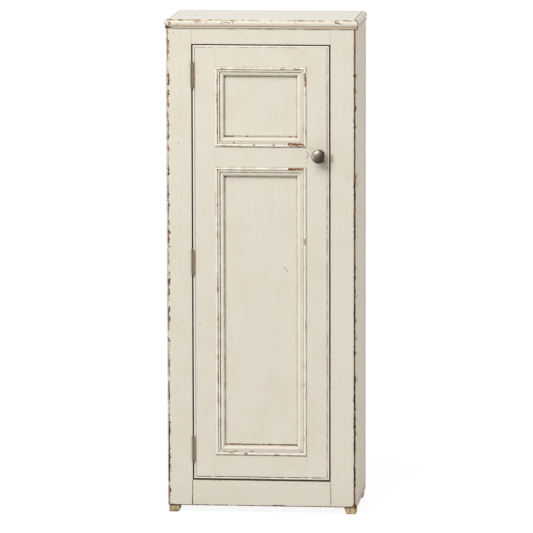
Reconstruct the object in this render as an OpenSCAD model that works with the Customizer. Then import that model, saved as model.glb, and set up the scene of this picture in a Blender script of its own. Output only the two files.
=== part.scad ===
// Painted kitchen cupboard: one framed door in a face frame, moulded top, four block feet.
// Millimetres. X runs to the right, Y to the back, Z up from the floor.
// The origin is on the floor, under the middle of the width and of the depth over the knob.

/* [Case] */
// Width across the outer faces of the two sides
case_w = 546; // [440:1:700]
// Depth from the front of the face frame to the back edges of the sides
case_d = 310; // [220:1:420]
// Height from the floor to the flat of the top
case_h = 1421; // [1250:1:1700]
// Thickness of the side boards
side_t = 18; // [15:0.5:24]
// Thickness of the floor board
floor_t = 18; // [14:0.5:24]
// Height of the floor board's top above the bottom rail, which stops the door
floor_rise = 12; // [8:0.5:16]
// Depth of the housing that takes the floor board in each side
housing_d = 6; // [3:0.5:8]

/* [Face frame] */
// Thickness of the face frame
face_t = 21; // [19:0.5:26]
// Width of the left stile
stile_left_w = 73; // [60:0.5:95]
// Width of the right stile
stile_right_w = 76.5; // [60:0.5:95]
// Height of the top rail, up to the underside of the top
face_rail_top_h = 50.4; // [36:0.1:90]
// Height of the bottom rail
face_rail_bottom_h = 73.8; // [50:0.1:110]
// Chamfer on the outer front arris of each stile
corner_chamfer = 6; // [2:0.5:9]
// Length of the rail tenons
face_tenon_l = 35; // [20:1:45]
// Thickness of the rail tenons
face_tenon_t = 7; // [5:0.5:9]

/* [Top] */
// Thickness of the top and of its half-round nosing
top_t = 20; // [16:0.5:26]
// Overhang of the nosing past the sides and the face frame
nose_out = 3; // [2:0.1:5]
// Width of the nosing that lies on top of the case
nose_in = 9.5; // [8.5:0.1:14]
// Radius of the nosing's lower half
nose_belly_r = 17; // [13:0.5:20]
// Height of the bead that hangs under the nosing
nose_bead_h = 5; // [4:0.5:8]
// Overhang of that bead
nose_bead_out = 2.2; // [1.5:0.1:3]
// Thickness of the web that joins the bead to the nosing
nose_web = 0.8; // [0.5:0.1:1.2]
// Width of the cross-grain cleat at the left end of the top
cleat_left_w = 56; // [36:1:80]
// Width of the cleat at the right end
cleat_right_w = 45; // [36:1:80]
// Length of the tongue into each cleat
cleat_tongue_l = 10; // [6:1:14]
// Thickness of that tongue
cleat_tongue_t = 6; // [4:0.5:8]

/* [Feet] */
// Width of a foot where it meets the case
foot_w = 33; // [26:1:45]
// Depth of a foot
foot_d = 42; // [30:1:60]
// Height of a foot
foot_h = 20; // [14:1:40]
// Setback of the feet from the outer faces of the case
foot_inset = 3.5; // [1:0.5:8]
// How far a foot's inner face leans out from its bottom to its top
foot_lean = 4; // [1:0.5:8]
// Radius of a foot's bottom corners
foot_r = 4; // [2:0.5:6]

/* [Back] */
// Thickness of the back boards
back_t = 10; // [8:0.5:14]
// Width of the rabbet for them in each side
back_rabbet = 9; // [6:0.5:12]
// Length of the tongue between two back boards
back_tongue_l = 5; // [3:0.5:8]
// Thickness of that tongue
back_tongue_t = 3.2; // [2.4:0.1:4]
// Chamfer beside each joint of the back
back_chamfer = 1.5; // [0.5:0.1:2.5]

/* [Shelves] */
// Thickness of a shelf
shelf_t = 16; // [12:0.5:24]
// Distance from the back of the face frame to a shelf's front edge
shelf_setback = 25; // [20:1:60]
// Gap between a shelf's end and the side
shelf_play = 0.5; // [0.2:0.1:2]
// Height of a shelf bearer
bearer_h = 20; // [14:1:30]
// Thickness of a shelf bearer
bearer_t = 16; // [12:1:24]
// Bevel at the front end of a bearer
bearer_bevel = 10; // [4:1:14]
// Width of the door stop
stop_h = 24; // [18:1:32]
// Thickness of the door stop
stop_t = 12; // [8:1:18]
// How far the door stop hangs below the top rail
stop_lap = 10; // [7:1:14]

/* [Door] */
// Thickness of the door's frame
door_t = 20; // [18:0.5:20.5]
// Gap between the door and the face frame at the sides and the top
door_gap = 3.2; // [2.4:0.1:4]
// Gap under the door
door_gap_bottom = 4.8; // [3:0.1:6]
// Width of the door's left stile
door_stile_left_w = 64; // [50:0.5:80]
// Width of the door's right stile
door_stile_right_w = 66; // [56:0.5:80]
// Height of the door's top rail
door_rail_top_h = 61.8; // [48:0.1:80]
// Height of the door's lock rail
door_rail_lock_h = 59.5; // [48:0.1:80]
// Height of the door's bottom rail
door_rail_bottom_h = 70.2; // [48:0.1:90]
// Height of the upper panel's opening
upper_opening_h = 227.2; // [160:0.1:320]
// Distance from the frame's face back to the panels' faces
panel_recess = 10; // [9:0.5:10.5]
// Thickness of the panels
panel_t = 6; // [4:0.5:7]
// Depth of the panel grooves
groove_d = 8; // [6:0.5:10]
// Room for a panel to swell in its groove
panel_play = 1; // [0.5:0.1:2]
// Thickness of the door's tenons
door_tenon_t = 7; // [5:0.5:9]

/* [Door mouldings] */
// Width of the planted moulding round each panel
mould_w = 28; // [26:0.5:34]
// Height of the moulding's outer bead above the frame's face
mould_proud = 3.5; // [2:0.1:5]
// Width of that outer bead
mould_bead_w = 6; // [4:0.1:7]
// Width of the fillet inside it
mould_fillet_w = 4.8; // [3:0.1:5.5]
// Height of the fillet below the bead's crown
mould_fillet_drop = 1.5; // [0.5:0.1:2.5]
// Width of the quirk beside the bead, and of the one beside the ovolo
mould_quirk_w = 1.3; // [0.8:0.1:2]
// Depth of these quirks below the fillet
mould_quirk_d = 2.4; // [1:0.1:4]
// Radius of the ovolo that falls to the panel
mould_ovolo_r = 11.5; // [10:0.1:13]
// Width of the bead round the door's edge
edge_bead_w = 5.5; // [4:0.1:7]
// Width of the quirk beside it
edge_quirk_w = 1.8; // [1:0.1:2.5]
// Depth of the rabbet that the bead is let into
edge_bead_d = 8; // [6:0.5:8]

/* [Hinges] */
// Length of the two knuckles of a hinge together
knuckle_l = 62; // [50:1:80]
// Radius of a knuckle
knuckle_r = 4.8; // [4.2:0.1:5.6]
// Radius of a hinge pin
pin_r = 2.4; // [2:0.1:3]
// Radial clearance of a pin in the moving knuckle
pin_play = 0.06; // [0.02:0.01:0.1]
// Thickness of a leaf
leaf_t = 2; // [1.8:0.1:2.4]
// Width of a leaf, back from the face of the door
leaf_w = 19; // [16:0.5:19.5]
// Gap between two closed leaves
leaf_gap = 0.25; // [0.1:0.05:0.5]
// Length of a finial
finial_l = 9; // [7.5:0.5:12]
// Distance from the door's top to the middle of the upper hinge
hinge_top_in = 82.5; // [70:0.5:140]
// Distance from the door's bottom to the middle of the lower hinge
hinge_bottom_in = 88.5; // [70:0.5:140]
// Height of the middle hinge above the door's mid height
hinge_mid_rise = 4; // [-60:1:60]
// Radius of a screw's shank
screw_r = 1.8; // [1.4:0.1:2.2]
// Radius of a screw's head
screw_head_r = 3.6; // [3:0.1:4.2]
// Length of a screw
screw_l = 18; // [14:1:25]
// Distance between neighbouring screws of a leaf
screw_pitch = 22; // [18:0.5:23]

/* [Knob and latch] */
// Diameter of the knob's head
knob_d = 41; // [32:0.5:50]
// Length of the knob, from its rose to its crown
knob_l = 31; // [27:0.5:40]
// Radius of the knob's stem
knob_stem_r = 6.5; // [6:0.1:8]
// Distance of the knob's axis from the door's edge
knob_in = 28; // [28:0.5:36]
// Height of the knob above the middle of the lock rail
knob_rise = 6.5; // [-15:0.5:15]
// Diameter of the rose
rose_d = 27; // [22:0.5:34]
// Thickness of the rose
rose_t = 2.5; // [1.5:0.1:4]
// Radius of the spindle
spindle_r = 4; // [3:0.1:4.5]
// Radial clearance of the spindle in the door
spindle_play = 0.08; // [0.02:0.01:0.1]
// Length of the spindle inside the knob
spindle_socket = 12; // [8:0.5:16]
// Running gap between what turns and the door
turn_gap = 0.3; // [0.2:0.05:0.5]
// Clearance between the tongue and the back of the face frame
tongue_gap = 0.6; // [0.4:0.1:1.2]
// Reach of the tongue, from the spindle to its tip
tongue_reach = 50; // [45:0.5:58]
// Width of the tongue
tongue_w = 15; // [13:0.5:20]
// Thickness of the tongue
tongue_t = 4; // [3:0.5:6]
// Thickness of the nut
nut_t = 6; // [4:0.5:8]

/* [Hidden] */
eps = 0.01;
over = 1;
$fn = 96;

// Joinery allowances
rail_shoulder_in = 2;
tenon_wall = 3;

// Depth of the ovolo's centre behind the panel's face
mould_ovolo_sink = 1;

// Hinge details: knuckles stand clear of the door, leaves start just behind its face
knuckle_clear = 0.2;
leaf_front_in = 0.3;
knuckle_joint_half = 0.1;
knuckle_cap_t = 3;
pin_end_clear = 0.25;
finial_collar_h = 1.6;
finial_neck_share = 0.62;
finial_ball_share = 0.8;
screw_stagger = 1.6;

// Knob details
knob_foot_flange = 3;
knob_foot_h = 1.6;
knob_rim_r = 2.5;
knob_rim_drop = 7;
knob_dome_in = 4.5;
knob_dome_h = 4.5;
rose_bevel = 2;
rose_edge_share = 0.6;
nut_share = 1.9;
spindle_past_nut = 2;

// Names of the repeated nodes
level_names = ["lower", "middle", "upper"];
edge_names = ["bottom", "left", "top", "right"];
back_count = 3;

// Colours of the finishes
paint = [0.89, 0.86, 0.79];
paint_shade = [0.84, 0.80, 0.72];
bare_wood = [0.75, 0.63, 0.46];
old_iron = [0.46, 0.42, 0.36];
pewter = [0.42, 0.40, 0.37];

// Places of the case
knob_out = rose_t + turn_gap + knob_l;
front_y = (knob_out - case_d) / 2;
back_y = front_y + case_d;
face_back_y = front_y + face_t;
case_top_z = case_h - top_t;
case_hx = case_w / 2;
inner_hx = case_hx - side_t;
back_face_y = back_y - back_t;

// The door's opening in the face frame
open_x0 = stile_left_w - case_hx;
open_x1 = case_hx - stile_right_w;
open_z0 = foot_h + face_rail_bottom_h;
open_z1 = case_top_z - face_rail_top_h;
floor_top_z = open_z0 + floor_rise;

// Top
nose_r = top_t / 2;
top_hx = case_hx - nose_in;
top_front_y = front_y + nose_in;
board_x0 = cleat_left_w - top_hx;
board_x1 = top_hx - cleat_right_w;

// Door frame and its two openings
door_x0 = open_x0 + door_gap;
door_x1 = open_x1 - door_gap;
door_z0 = open_z0 + door_gap_bottom;
door_z1 = open_z1 - door_gap;
panel_x0 = door_x0 + door_stile_left_w;
panel_x1 = door_x1 - door_stile_right_w;
upper_z1 = door_z1 - door_rail_top_h;
upper_z0 = upper_z1 - upper_opening_h;
lower_z1 = upper_z0 - door_rail_lock_h;
lower_z0 = door_z0 + door_rail_bottom_h;
shoulder = groove_d + rail_shoulder_in;
door_tenon_l = door_stile_right_w - knob_in - spindle_r - tenon_wall;
edge_strip_w = edge_bead_w + edge_quirk_w;

// Hinges, on an axis just in front of the gap
hinge_x = open_x0 + door_gap / 2;
hinge_y = front_y - knuckle_r - knuckle_clear;
leaf_let_in = leaf_t + leaf_gap / 2 - door_gap / 2;
leaf_front_y = front_y + leaf_front_in;
leaf_back_y = leaf_front_y + leaf_w;
hinge_zs = [door_z0 + hinge_bottom_in, (door_z0 + door_z1) / 2 + hinge_mid_rise, door_z1 - hinge_top_in];

// Latch
knob_x = door_x1 - knob_in;
knob_z = (upper_z0 + lower_z1) / 2 + knob_rise;
knob_foot_y = front_y - rose_t - turn_gap;
tongue_y = face_back_y + tongue_gap;
nut_y = tongue_y + tongue_t;
spindle_end_y = nut_y + nut_t + spindle_past_nut;

// Shelves
shelf_y = face_back_y + shelf_setback;
shelf_pitch = (case_top_z - floor_top_z) / 4;
shelf_count = 3;

function shelf_top_z(i) = floor_top_z + (i + 1) * shelf_pitch;

// A box given by two corners
module box(low, high) {
    translate(low) cube(high - low);
}

// A moulding along X with both ends mitred: Y runs in from the outer edge, Z out of the face
module mitred_run(run_l, run_w, run_h) {
    intersection() {
        translate([-run_l / 2, 0, 0]) rotate([90, 0, 90]) linear_extrude(run_l) children();
        translate([0, 0, -over]) linear_extrude(run_h + 2 * over) polygon([
            [-run_l / 2, 0],
            [run_l / 2, 0],
            [run_l / 2 - run_w, run_w],
            [-run_l / 2 + run_w, run_w]
        ]);
    }
}

// One side of a mitred rectangle that stands on the plane y; side 0 is the bottom, then left, top, right
module ring_side(side, x0, x1, z0, z1, y, run_w, run_h) {
    upright = side % 2 == 1;
    half = (upright ? x1 - x0 : z1 - z0) / 2;
    run_l = upright ? z1 - z0 : x1 - x0;
    translate([(x0 + x1) / 2, y, (z0 + z1) / 2]) rotate([0, 90 * side, 0]) translate([0, 0, -half])
        rotate([90, 0, 0]) mitred_run(run_l, run_w, run_h) children();
}

// Section of the top's nosing: half-round above, quirk and bead below
module nosing_section() {
    translate([-nose_in, 0]) square([nose_in + nose_out - nose_r, top_t]);
    translate([-nose_in, 0]) square([nose_in, nose_r]);
    intersection() {
        translate([nose_out - nose_r, nose_r]) circle(nose_r);
        translate([-nose_in, 0]) square([nose_in + nose_out + over, top_t]);
    }
    intersection() {
        translate([nose_out - nose_belly_r, nose_r]) circle(nose_belly_r);
        translate([-nose_in, nose_web]) square([nose_in + nose_out, nose_r - nose_web]);
    }
    translate([0, -nose_bead_h]) square([nose_web, nose_bead_h + 2 * nose_web]);
    intersection() {
        translate([nose_bead_out - nose_bead_h / 2, -nose_bead_h / 2]) circle(nose_bead_h / 2);
        translate([0, -nose_bead_h]) square([nose_bead_out + over, nose_bead_h]);
    }
}

// Outline of the side nosing in plan, mitred at the front
module nosing_plan() {
    reach = nose_out + over;
    depth = nose_in + over;
    polygon([
        [case_hx + reach, front_y - reach],
        [case_hx - depth, front_y + depth],
        [case_hx - depth, back_y],
        [case_hx + reach, back_y]
    ]);
}

module nosing_front() {
    reach = nose_out + over;
    depth = nose_in + over;
    run_l = case_w + 2 * reach;
    color(paint) intersection() {
        translate([run_l / 2, front_y, case_top_z]) rotate([0, 0, 180]) rotate([90, 0, 90])
            linear_extrude(run_l) nosing_section();
        translate([0, 0, case_top_z - nose_bead_h - over])
            linear_extrude(top_t + nose_bead_h + 2 * over) polygon([
                [-case_hx - reach, front_y - reach],
                [case_hx + reach, front_y - reach],
                [case_hx - depth, front_y + depth],
                [-case_hx + depth, front_y + depth]
            ]);
    }
}

module nosing_right() {
    run_l = case_d + nose_out + over;
    color(paint) intersection() {
        translate([case_hx, back_y, case_top_z]) rotate([90, 0, 0]) linear_extrude(run_l) nosing_section();
        translate([0, 0, case_top_z - nose_bead_h - over])
            linear_extrude(top_t + nose_bead_h + 2 * over) nosing_plan();
    }
}

module nosing_left() {
    mirror([1, 0, 0]) nosing_right();
}

// Tongue of the middle top board, which the cleats are grooved for
module top_tongue(side) {
    z = case_top_z + (top_t - cleat_tongue_t) / 2;
    low_x = side < 0 ? board_x0 - cleat_tongue_l : board_x1 - over;
    box([low_x, top_front_y, z], [low_x + cleat_tongue_l + over, back_y, z + cleat_tongue_t]);
}

module top_board() {
    color(paint) {
        box([board_x0, top_front_y, case_top_z], [board_x1, back_y, case_h]);
        top_tongue(-1);
        top_tongue(1);
    }
}

module top_cleat(x0, x1, side) {
    color(paint) difference() {
        box([x0, top_front_y, case_top_z], [x1, back_y, case_h]);
        top_tongue(side);
    }
}

module top_cleat_left() {
    top_cleat(-top_hx, board_x0, -1);
}

module top_cleat_right() {
    top_cleat(board_x1, top_hx, 1);
}

// Side board with the rabbet for the back and the housing for the floor board
module side_right() {
    color(paint_shade) difference() {
        box([inner_hx, face_back_y, foot_h], [case_hx, back_y, case_top_z]);
        box([inner_hx - over, back_face_y, foot_h - over], [inner_hx + back_rabbet, back_y + over, case_h]);
        floor_board();
    }
}

module side_left() {
    mirror([1, 0, 0]) side_right();
}

module floor_board() {
    reach = inner_hx + housing_d;
    color(paint_shade)
        box([-reach, face_back_y, floor_top_z - floor_t], [reach, back_face_y, floor_top_z]);
}

// Tenon at both ends of a rail between two stiles
module rail_tenons(x0, x1, tenon_l, tenon_t, rail_y, rail_t, z0, z1) {
    y = rail_y + (rail_t - tenon_t) / 2;
    box([x0 - tenon_l, y, z0 + shoulder], [x1 + tenon_l, y + tenon_t, z1 - shoulder]);
}

module face_tenons() {
    rail_tenons(open_x0, open_x1, face_tenon_l, face_tenon_t, front_y, face_t, foot_h, open_z0);
    rail_tenons(open_x0, open_x1, face_tenon_l, face_tenon_t, front_y, face_t, open_z1, case_top_z);
}

// Right stile of the face frame, or mirrored the left one
module frame_stile_plain(inner_x) {
    linear_extrude(case_top_z - foot_h) polygon([
        [inner_x, front_y],
        [case_hx - corner_chamfer, front_y],
        [case_hx, front_y + corner_chamfer],
        [case_hx, face_back_y],
        [inner_x, face_back_y]
    ]);
}

module frame_stile_right() {
    color(paint) difference() {
        translate([0, 0, foot_h]) frame_stile_plain(open_x1);
        face_tenons();
    }
}

module frame_stile_left() {
    color(paint) difference() {
        translate([0, 0, foot_h]) mirror([1, 0, 0]) frame_stile_plain(-open_x0);
        face_tenons();
        leaf_beds(-1);
        leaf_screws(-1);
    }
}

module frame_rail(z0, z1) {
    color(paint) {
        box([open_x0, front_y, z0], [open_x1, face_back_y, z1]);
        rail_tenons(open_x0, open_x1, face_tenon_l, face_tenon_t, front_y, face_t, z0, z1);
    }
}

module frame_rail_top() {
    frame_rail(open_z1, case_top_z);
}

module frame_rail_bottom() {
    frame_rail(foot_h, open_z0);
}

// Strip behind the top rail that the door closes against
module door_stop() {
    z = open_z1 - stop_lap;
    color(paint_shade) box([-inner_hx, face_back_y, z], [inner_hx, face_back_y + stop_t, z + stop_h]);
}

// Plan of one back board: groove on its left edge, tongue on its right, chamfered beside each joint
module back_plan(board_w, has_groove, has_tongue) {
    tongue_y0 = (back_t - back_tongue_t) / 2;
    left_c = has_groove ? back_chamfer : 0;
    right_c = has_tongue ? back_chamfer : 0;
    difference() {
        polygon([
            [0, left_c],
            [left_c, 0],
            [board_w - right_c, 0],
            [board_w, right_c],
            [board_w, back_t],
            [0, back_t]
        ]);
        if (has_groove) translate([-over, tongue_y0]) square([back_tongue_l + over, back_tongue_t]);
    }
    if (has_tongue) translate([board_w - over, tongue_y0]) square([back_tongue_l + over, back_tongue_t]);
}

module back_board(i) {
    back_hx = inner_hx + back_rabbet;
    board_w = 2 * back_hx / back_count;
    color(paint_shade) translate([-back_hx + (i - 1) * board_w, back_face_y, foot_h])
        linear_extrude(case_top_z - foot_h) back_plan(board_w, i > 1, i < back_count);
}

module shelf(i) {
    z = shelf_top_z(i);
    hx = inner_hx - shelf_play;
    color(paint_shade) box([-hx, shelf_y, z - shelf_t], [hx, back_face_y, z]);
}

// Bearers under one end of every shelf, bevelled at the front
module bearers_right() {
    color(paint_shade) for (i = [0:shelf_count - 1])
        translate([inner_hx - bearer_t, 0, shelf_top_z(i) - shelf_t]) rotate([90, 0, 90])
            linear_extrude(bearer_t) polygon([
                [shelf_y, 0],
                [shelf_y, -bearer_h + bearer_bevel],
                [shelf_y + bearer_bevel, -bearer_h],
                [back_face_y, -bearer_h],
                [back_face_y, 0]
            ]);
}

module bearers_left() {
    mirror([1, 0, 0]) bearers_right();
}

// Front of a block foot, with its inner face leaning out towards the top
module foot_face() {
    bottom_w = foot_w - foot_lean;
    polygon([
        [foot_r, 0],
        [bottom_w - foot_r, 0],
        [bottom_w, foot_r],
        [foot_w, foot_h],
        [0, foot_h],
        [0, foot_r]
    ]);
    translate([foot_r, foot_r]) circle(foot_r);
    translate([bottom_w - foot_r, foot_r]) circle(foot_r);
}

module foot(side_x, y) {
    outer_x = case_hx - foot_inset;
    color(bare_wood) mirror([side_x < 0 ? 1 : 0, 0, 0]) translate([outer_x, y + foot_d, 0])
        mirror([1, 0, 0]) rotate([90, 0, 0]) linear_extrude(foot_d) foot_face();
}

module foot_front_left() {
    foot(-1, front_y + foot_inset);
}

module foot_front_right() {
    foot(1, front_y + foot_inset);
}

module foot_back_left() {
    foot(-1, back_y - foot_inset - foot_d);
}

module foot_back_right() {
    foot(1, back_y - foot_inset - foot_d);
}

// Room for the bead round the front edge of the door
module edge_rabbet() {
    floor_y = front_y + edge_bead_d;
    difference() {
        box([door_x0 - over, front_y - over, door_z0 - over], [door_x1 + over, floor_y, door_z1 + over]);
        box([door_x0 + edge_strip_w, front_y - 2 * over, door_z0 + edge_strip_w],
            [door_x1 - edge_strip_w, floor_y + over, door_z1 - edge_strip_w]);
    }
}

module door_tenons() {
    rail_tenons(panel_x0, panel_x1, door_tenon_l, door_tenon_t, front_y, door_t, door_z0, lower_z0);
    rail_tenons(panel_x0, panel_x1, door_tenon_l, door_tenon_t, front_y, door_t, lower_z1, upper_z0);
    rail_tenons(panel_x0, panel_x1, door_tenon_l, door_tenon_t, front_y, door_t, upper_z1, door_z1);
}

// A panel, or with no play the grooves that hold it
module panel_block(z0, z1, play) {
    reach = groove_d - play;
    y = front_y + panel_recess;
    box([panel_x0 - reach, y, z0 - reach], [panel_x1 + reach, y + panel_t, z1 + reach]);
}

module panel_grooves() {
    panel_block(upper_z0, upper_z1, 0);
    panel_block(lower_z0, lower_z1, 0);
}

module panel_upper() {
    color(paint) panel_block(upper_z0, upper_z1, panel_play);
}

module panel_lower() {
    color(paint) panel_block(lower_z0, lower_z1, panel_play);
}

module door_stile_left() {
    color(paint) difference() {
        box([door_x0, front_y, door_z0], [panel_x0, front_y + door_t, door_z1]);
        edge_rabbet();
        door_tenons();
        panel_grooves();
        leaf_beds(1);
        leaf_screws(1);
    }
}

module door_stile_right() {
    color(paint) difference() {
        box([panel_x1, front_y, door_z0], [door_x1, front_y + door_t, door_z1]);
        edge_rabbet();
        door_tenons();
        panel_grooves();
        translate([knob_x, front_y - over, knob_z]) rotate([-90, 0, 0])
            cylinder(h = door_t + 2 * over, r = spindle_r + spindle_play);
    }
}

module door_rail(z0, z1) {
    color(paint) {
        difference() {
            box([panel_x0, front_y, z0], [panel_x1, front_y + door_t, z1]);
            edge_rabbet();
            panel_grooves();
        }
        rail_tenons(panel_x0, panel_x1, door_tenon_l, door_tenon_t, front_y, door_t, z0, z1);
    }
}

module door_rail_top() {
    door_rail(upper_z1, door_z1);
}

module door_rail_lock() {
    door_rail(lower_z1, upper_z0);
}

module door_rail_bottom() {
    door_rail(door_z0, lower_z0);
}

// Section of the planted moulding: bead, quirk, fillet, quirk and an ovolo that falls to the panel
module moulding_section() {
    crown_h = panel_recess + mould_proud;
    bead_r = mould_bead_w / 2;
    fillet_x = mould_bead_w + mould_quirk_w;
    fillet_h = crown_h - mould_fillet_drop;
    floor_h = fillet_h - mould_quirk_d;
    ovolo_x = fillet_x + mould_fillet_w + mould_quirk_w;
    ovolo_mid = mould_w - sqrt(mould_ovolo_r ^ 2 - mould_ovolo_sink ^ 2);
    square([mould_bead_w, crown_h - bead_r]);
    translate([bead_r, crown_h - bead_r]) circle(bead_r);
    square([fillet_x + eps, floor_h]);
    translate([fillet_x, 0]) square([mould_fillet_w, fillet_h]);
    square([ovolo_x + eps, floor_h - mould_quirk_d / 2]);
    intersection() {
        translate([ovolo_mid, -mould_ovolo_sink]) circle(mould_ovolo_r);
        translate([ovolo_x, 0]) square([mould_w - ovolo_x, crown_h]);
    }
}

module panel_moulding(side, z0, z1) {
    panel_y = front_y + panel_recess;
    crown_h = panel_recess + mould_proud;
    color(paint) ring_side(side, panel_x0, panel_x1, z0, z1, panel_y, mould_w, crown_h) moulding_section();
}

// Section of the bead round the door, with the quirk beside it
module edge_bead_section() {
    r = edge_bead_w / 2;
    square([edge_strip_w, edge_bead_d - r]);
    translate([r, edge_bead_d - r]) circle(r);
}

module door_bead(side) {
    color(paint) difference() {
        ring_side(side, door_x0, door_x1, door_z0, door_z1, front_y + edge_bead_d, edge_strip_w, edge_bead_d)
            edge_bead_section();
        if (side == 1) leaf_beds(1);
        if (side == 1) leaf_screws(1);
    }
}

// One leaf's plate: side -1 is the leaf on the face frame, side 1 the leaf on the door
module leaf_plate(side) {
    half_l = knuckle_l / 2;
    low_x = side < 0 ? -leaf_gap / 2 - leaf_t : leaf_gap / 2;
    box([low_x, leaf_front_y - hinge_y, -half_l], [low_x + leaf_t, leaf_back_y - hinge_y, half_l]);
}

// Shallow beds that the leaves are let into
module leaf_beds(side) {
    half_l = knuckle_l / 2;
    edge_x = hinge_x + side * door_gap / 2;
    low_x = side < 0 ? edge_x - leaf_let_in : edge_x - over;
    high_x = low_x + leaf_let_in + over;
    for (z = hinge_zs)
        box([low_x, front_y - over, z - half_l], [high_x, leaf_back_y, z + half_l]);
}

module csk_screw() {
    cylinder(h = leaf_t, r1 = screw_head_r, r2 = screw_r);
    translate([0, 0, leaf_t - eps]) cylinder(h = screw_l - 2 * leaf_t, r = screw_r);
    translate([0, 0, screw_l - leaf_t - 2 * eps]) cylinder(h = leaf_t, r1 = screw_r, r2 = screw_r / 6);
}

// Three screws in each leaf, the middle one a little nearer the front
module leaf_screws(side) {
    x = hinge_x + side * leaf_gap / 2;
    mid_y = (leaf_front_y + leaf_back_y) / 2;
    for (z = hinge_zs, i = [-1:1])
        translate([x, mid_y + abs(i) * screw_stagger, z + i * screw_pitch])
            rotate([0, side * 90, 0]) csk_screw();
}

module finial() {
    ball_r = knuckle_r * finial_ball_share;
    cylinder(h = finial_collar_h, r = knuckle_r);
    cylinder(h = finial_l - ball_r, r = knuckle_r * finial_neck_share);
    translate([0, 0, finial_l - ball_r]) sphere(ball_r);
}

// Knuckle, web and finial of one leaf, built upwards from the meeting of the two knuckles
module knuckle(side, bore_r) {
    half_l = knuckle_l / 2;
    foot_z = knuckle_joint_half;
    web_x = side < 0 ? -leaf_gap / 2 - leaf_t : leaf_gap / 2;
    difference() {
        union() {
            translate([0, 0, foot_z]) cylinder(h = half_l - foot_z, r = knuckle_r);
            box([web_x, 0, foot_z], [web_x + leaf_t, leaf_front_y - hinge_y + eps, half_l]);
            translate([0, 0, half_l]) finial();
        }
        translate([0, 0, -over]) cylinder(h = half_l - knuckle_cap_t + over, r = bore_r);
    }
}

module hinge_frame_leaf(i) {
    color(old_iron) difference() {
        translate([hinge_x, hinge_y, hinge_zs[i]]) {
            leaf_plate(-1);
            mirror([0, 0, 1]) knuckle(-1, pin_r);
        }
        leaf_screws(-1);
    }
}

module hinge_door_leaf(i) {
    color(old_iron) difference() {
        translate([hinge_x, hinge_y, hinge_zs[i]]) {
            leaf_plate(1);
            knuckle(1, pin_r + pin_play);
        }
        leaf_screws(1);
    }
}

module hinge_pins() {
    low_z = knuckle_cap_t - knuckle_l / 2;
    pin_l = knuckle_l - 2 * knuckle_cap_t - 2 * pin_end_clear;
    color(old_iron) for (z = hinge_zs)
        translate([hinge_x, hinge_y, z + low_z]) cylinder(h = pin_l, r = pin_r);
}

module frame_leaf_screws() {
    color(old_iron) leaf_screws(-1);
}

module door_leaf_screws() {
    color(old_iron) leaf_screws(1);
}

// Turns a shape made along Z so that it points out of the door at the knob
module at_knob(y) {
    translate([knob_x, y, knob_z]) rotate([90, 0, 0]) children();
}

module knob_rose() {
    edge_h = rose_t * rose_edge_share;
    rim_h = rose_t - edge_h + eps;
    color(pewter) at_knob(front_y) difference() {
        union() {
            cylinder(h = edge_h, d = rose_d);
            translate([0, 0, edge_h - eps]) cylinder(h = rim_h, d1 = rose_d, d2 = rose_d - 2 * rose_bevel);
        }
        translate([0, 0, -over]) cylinder(h = rose_t + 2 * over, r = spindle_r + spindle_play);
    }
}

// Half section of the knob: foot, stem, coved underside, rim and domed face
module knob_section() {
    head_r = knob_d / 2;
    rim_in = head_r - knob_rim_r;
    rim_z = knob_l - knob_rim_drop;
    cove_r = rim_in - knob_stem_r;
    dome_r = head_r - knob_dome_in;
    dome_ball_r = (dome_r ^ 2 + knob_dome_h ^ 2) / (2 * knob_dome_h);
    square([knob_stem_r + knob_foot_flange, knob_foot_h]);
    square([knob_stem_r, rim_z]);
    difference() {
        translate([0, rim_z - cove_r]) square([rim_in, cove_r]);
        translate([rim_in, rim_z - cove_r]) circle(cove_r);
    }
    translate([0, rim_z - eps]) square([rim_in, knob_rim_r]);
    translate([rim_in, rim_z + knob_rim_r / 5]) circle(knob_rim_r);
    intersection() {
        translate([0, knob_l - dome_ball_r]) circle(dome_ball_r);
        translate([0, rim_z]) square([dome_r, knob_rim_drop]);
    }
}

module knob() {
    color(pewter) at_knob(knob_foot_y) difference() {
        rotate_extrude() intersection() {
            knob_section();
            square([knob_d, knob_l + over]);
        }
        translate([0, 0, -over]) cylinder(h = spindle_socket + over, r = spindle_r);
    }
}

module spindle() {
    color(old_iron) translate([knob_x, knob_foot_y - spindle_socket, knob_z]) rotate([-90, 0, 0])
        cylinder(h = spindle_end_y - knob_foot_y + spindle_socket, r = spindle_r);
}

// Turn button on the back end of the spindle, hanging down while the door is free
module latch_tongue() {
    boss_y = front_y + door_t + turn_gap;
    tip_r = tongue_w / 2;
    tip_z = knob_z - tongue_reach + tip_r;
    color(old_iron) difference() {
        union() {
            translate([knob_x, tongue_y, knob_z]) rotate([-90, 0, 0]) cylinder(h = tongue_t, r = tip_r);
            translate([knob_x, tongue_y, tip_z]) rotate([-90, 0, 0]) cylinder(h = tongue_t, r = tip_r);
            box([knob_x - tip_r, tongue_y, tip_z], [knob_x + tip_r, nut_y, knob_z]);
            translate([knob_x, boss_y, knob_z]) rotate([-90, 0, 0])
                cylinder(h = tongue_y - boss_y + eps, r = tip_r);
        }
        translate([knob_x, boss_y - over, knob_z]) rotate([-90, 0, 0])
            cylinder(h = nut_y - boss_y + 2 * over, r = spindle_r);
    }
}

module latch_nut() {
    color(old_iron) translate([knob_x, nut_y, knob_z]) rotate([-90, 0, 0]) difference() {
        cylinder(h = nut_t, r = spindle_r * nut_share, $fn = 6);
        translate([0, 0, -over]) cylinder(h = nut_t + 2 * over, r = spindle_r);
    }
}

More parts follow.
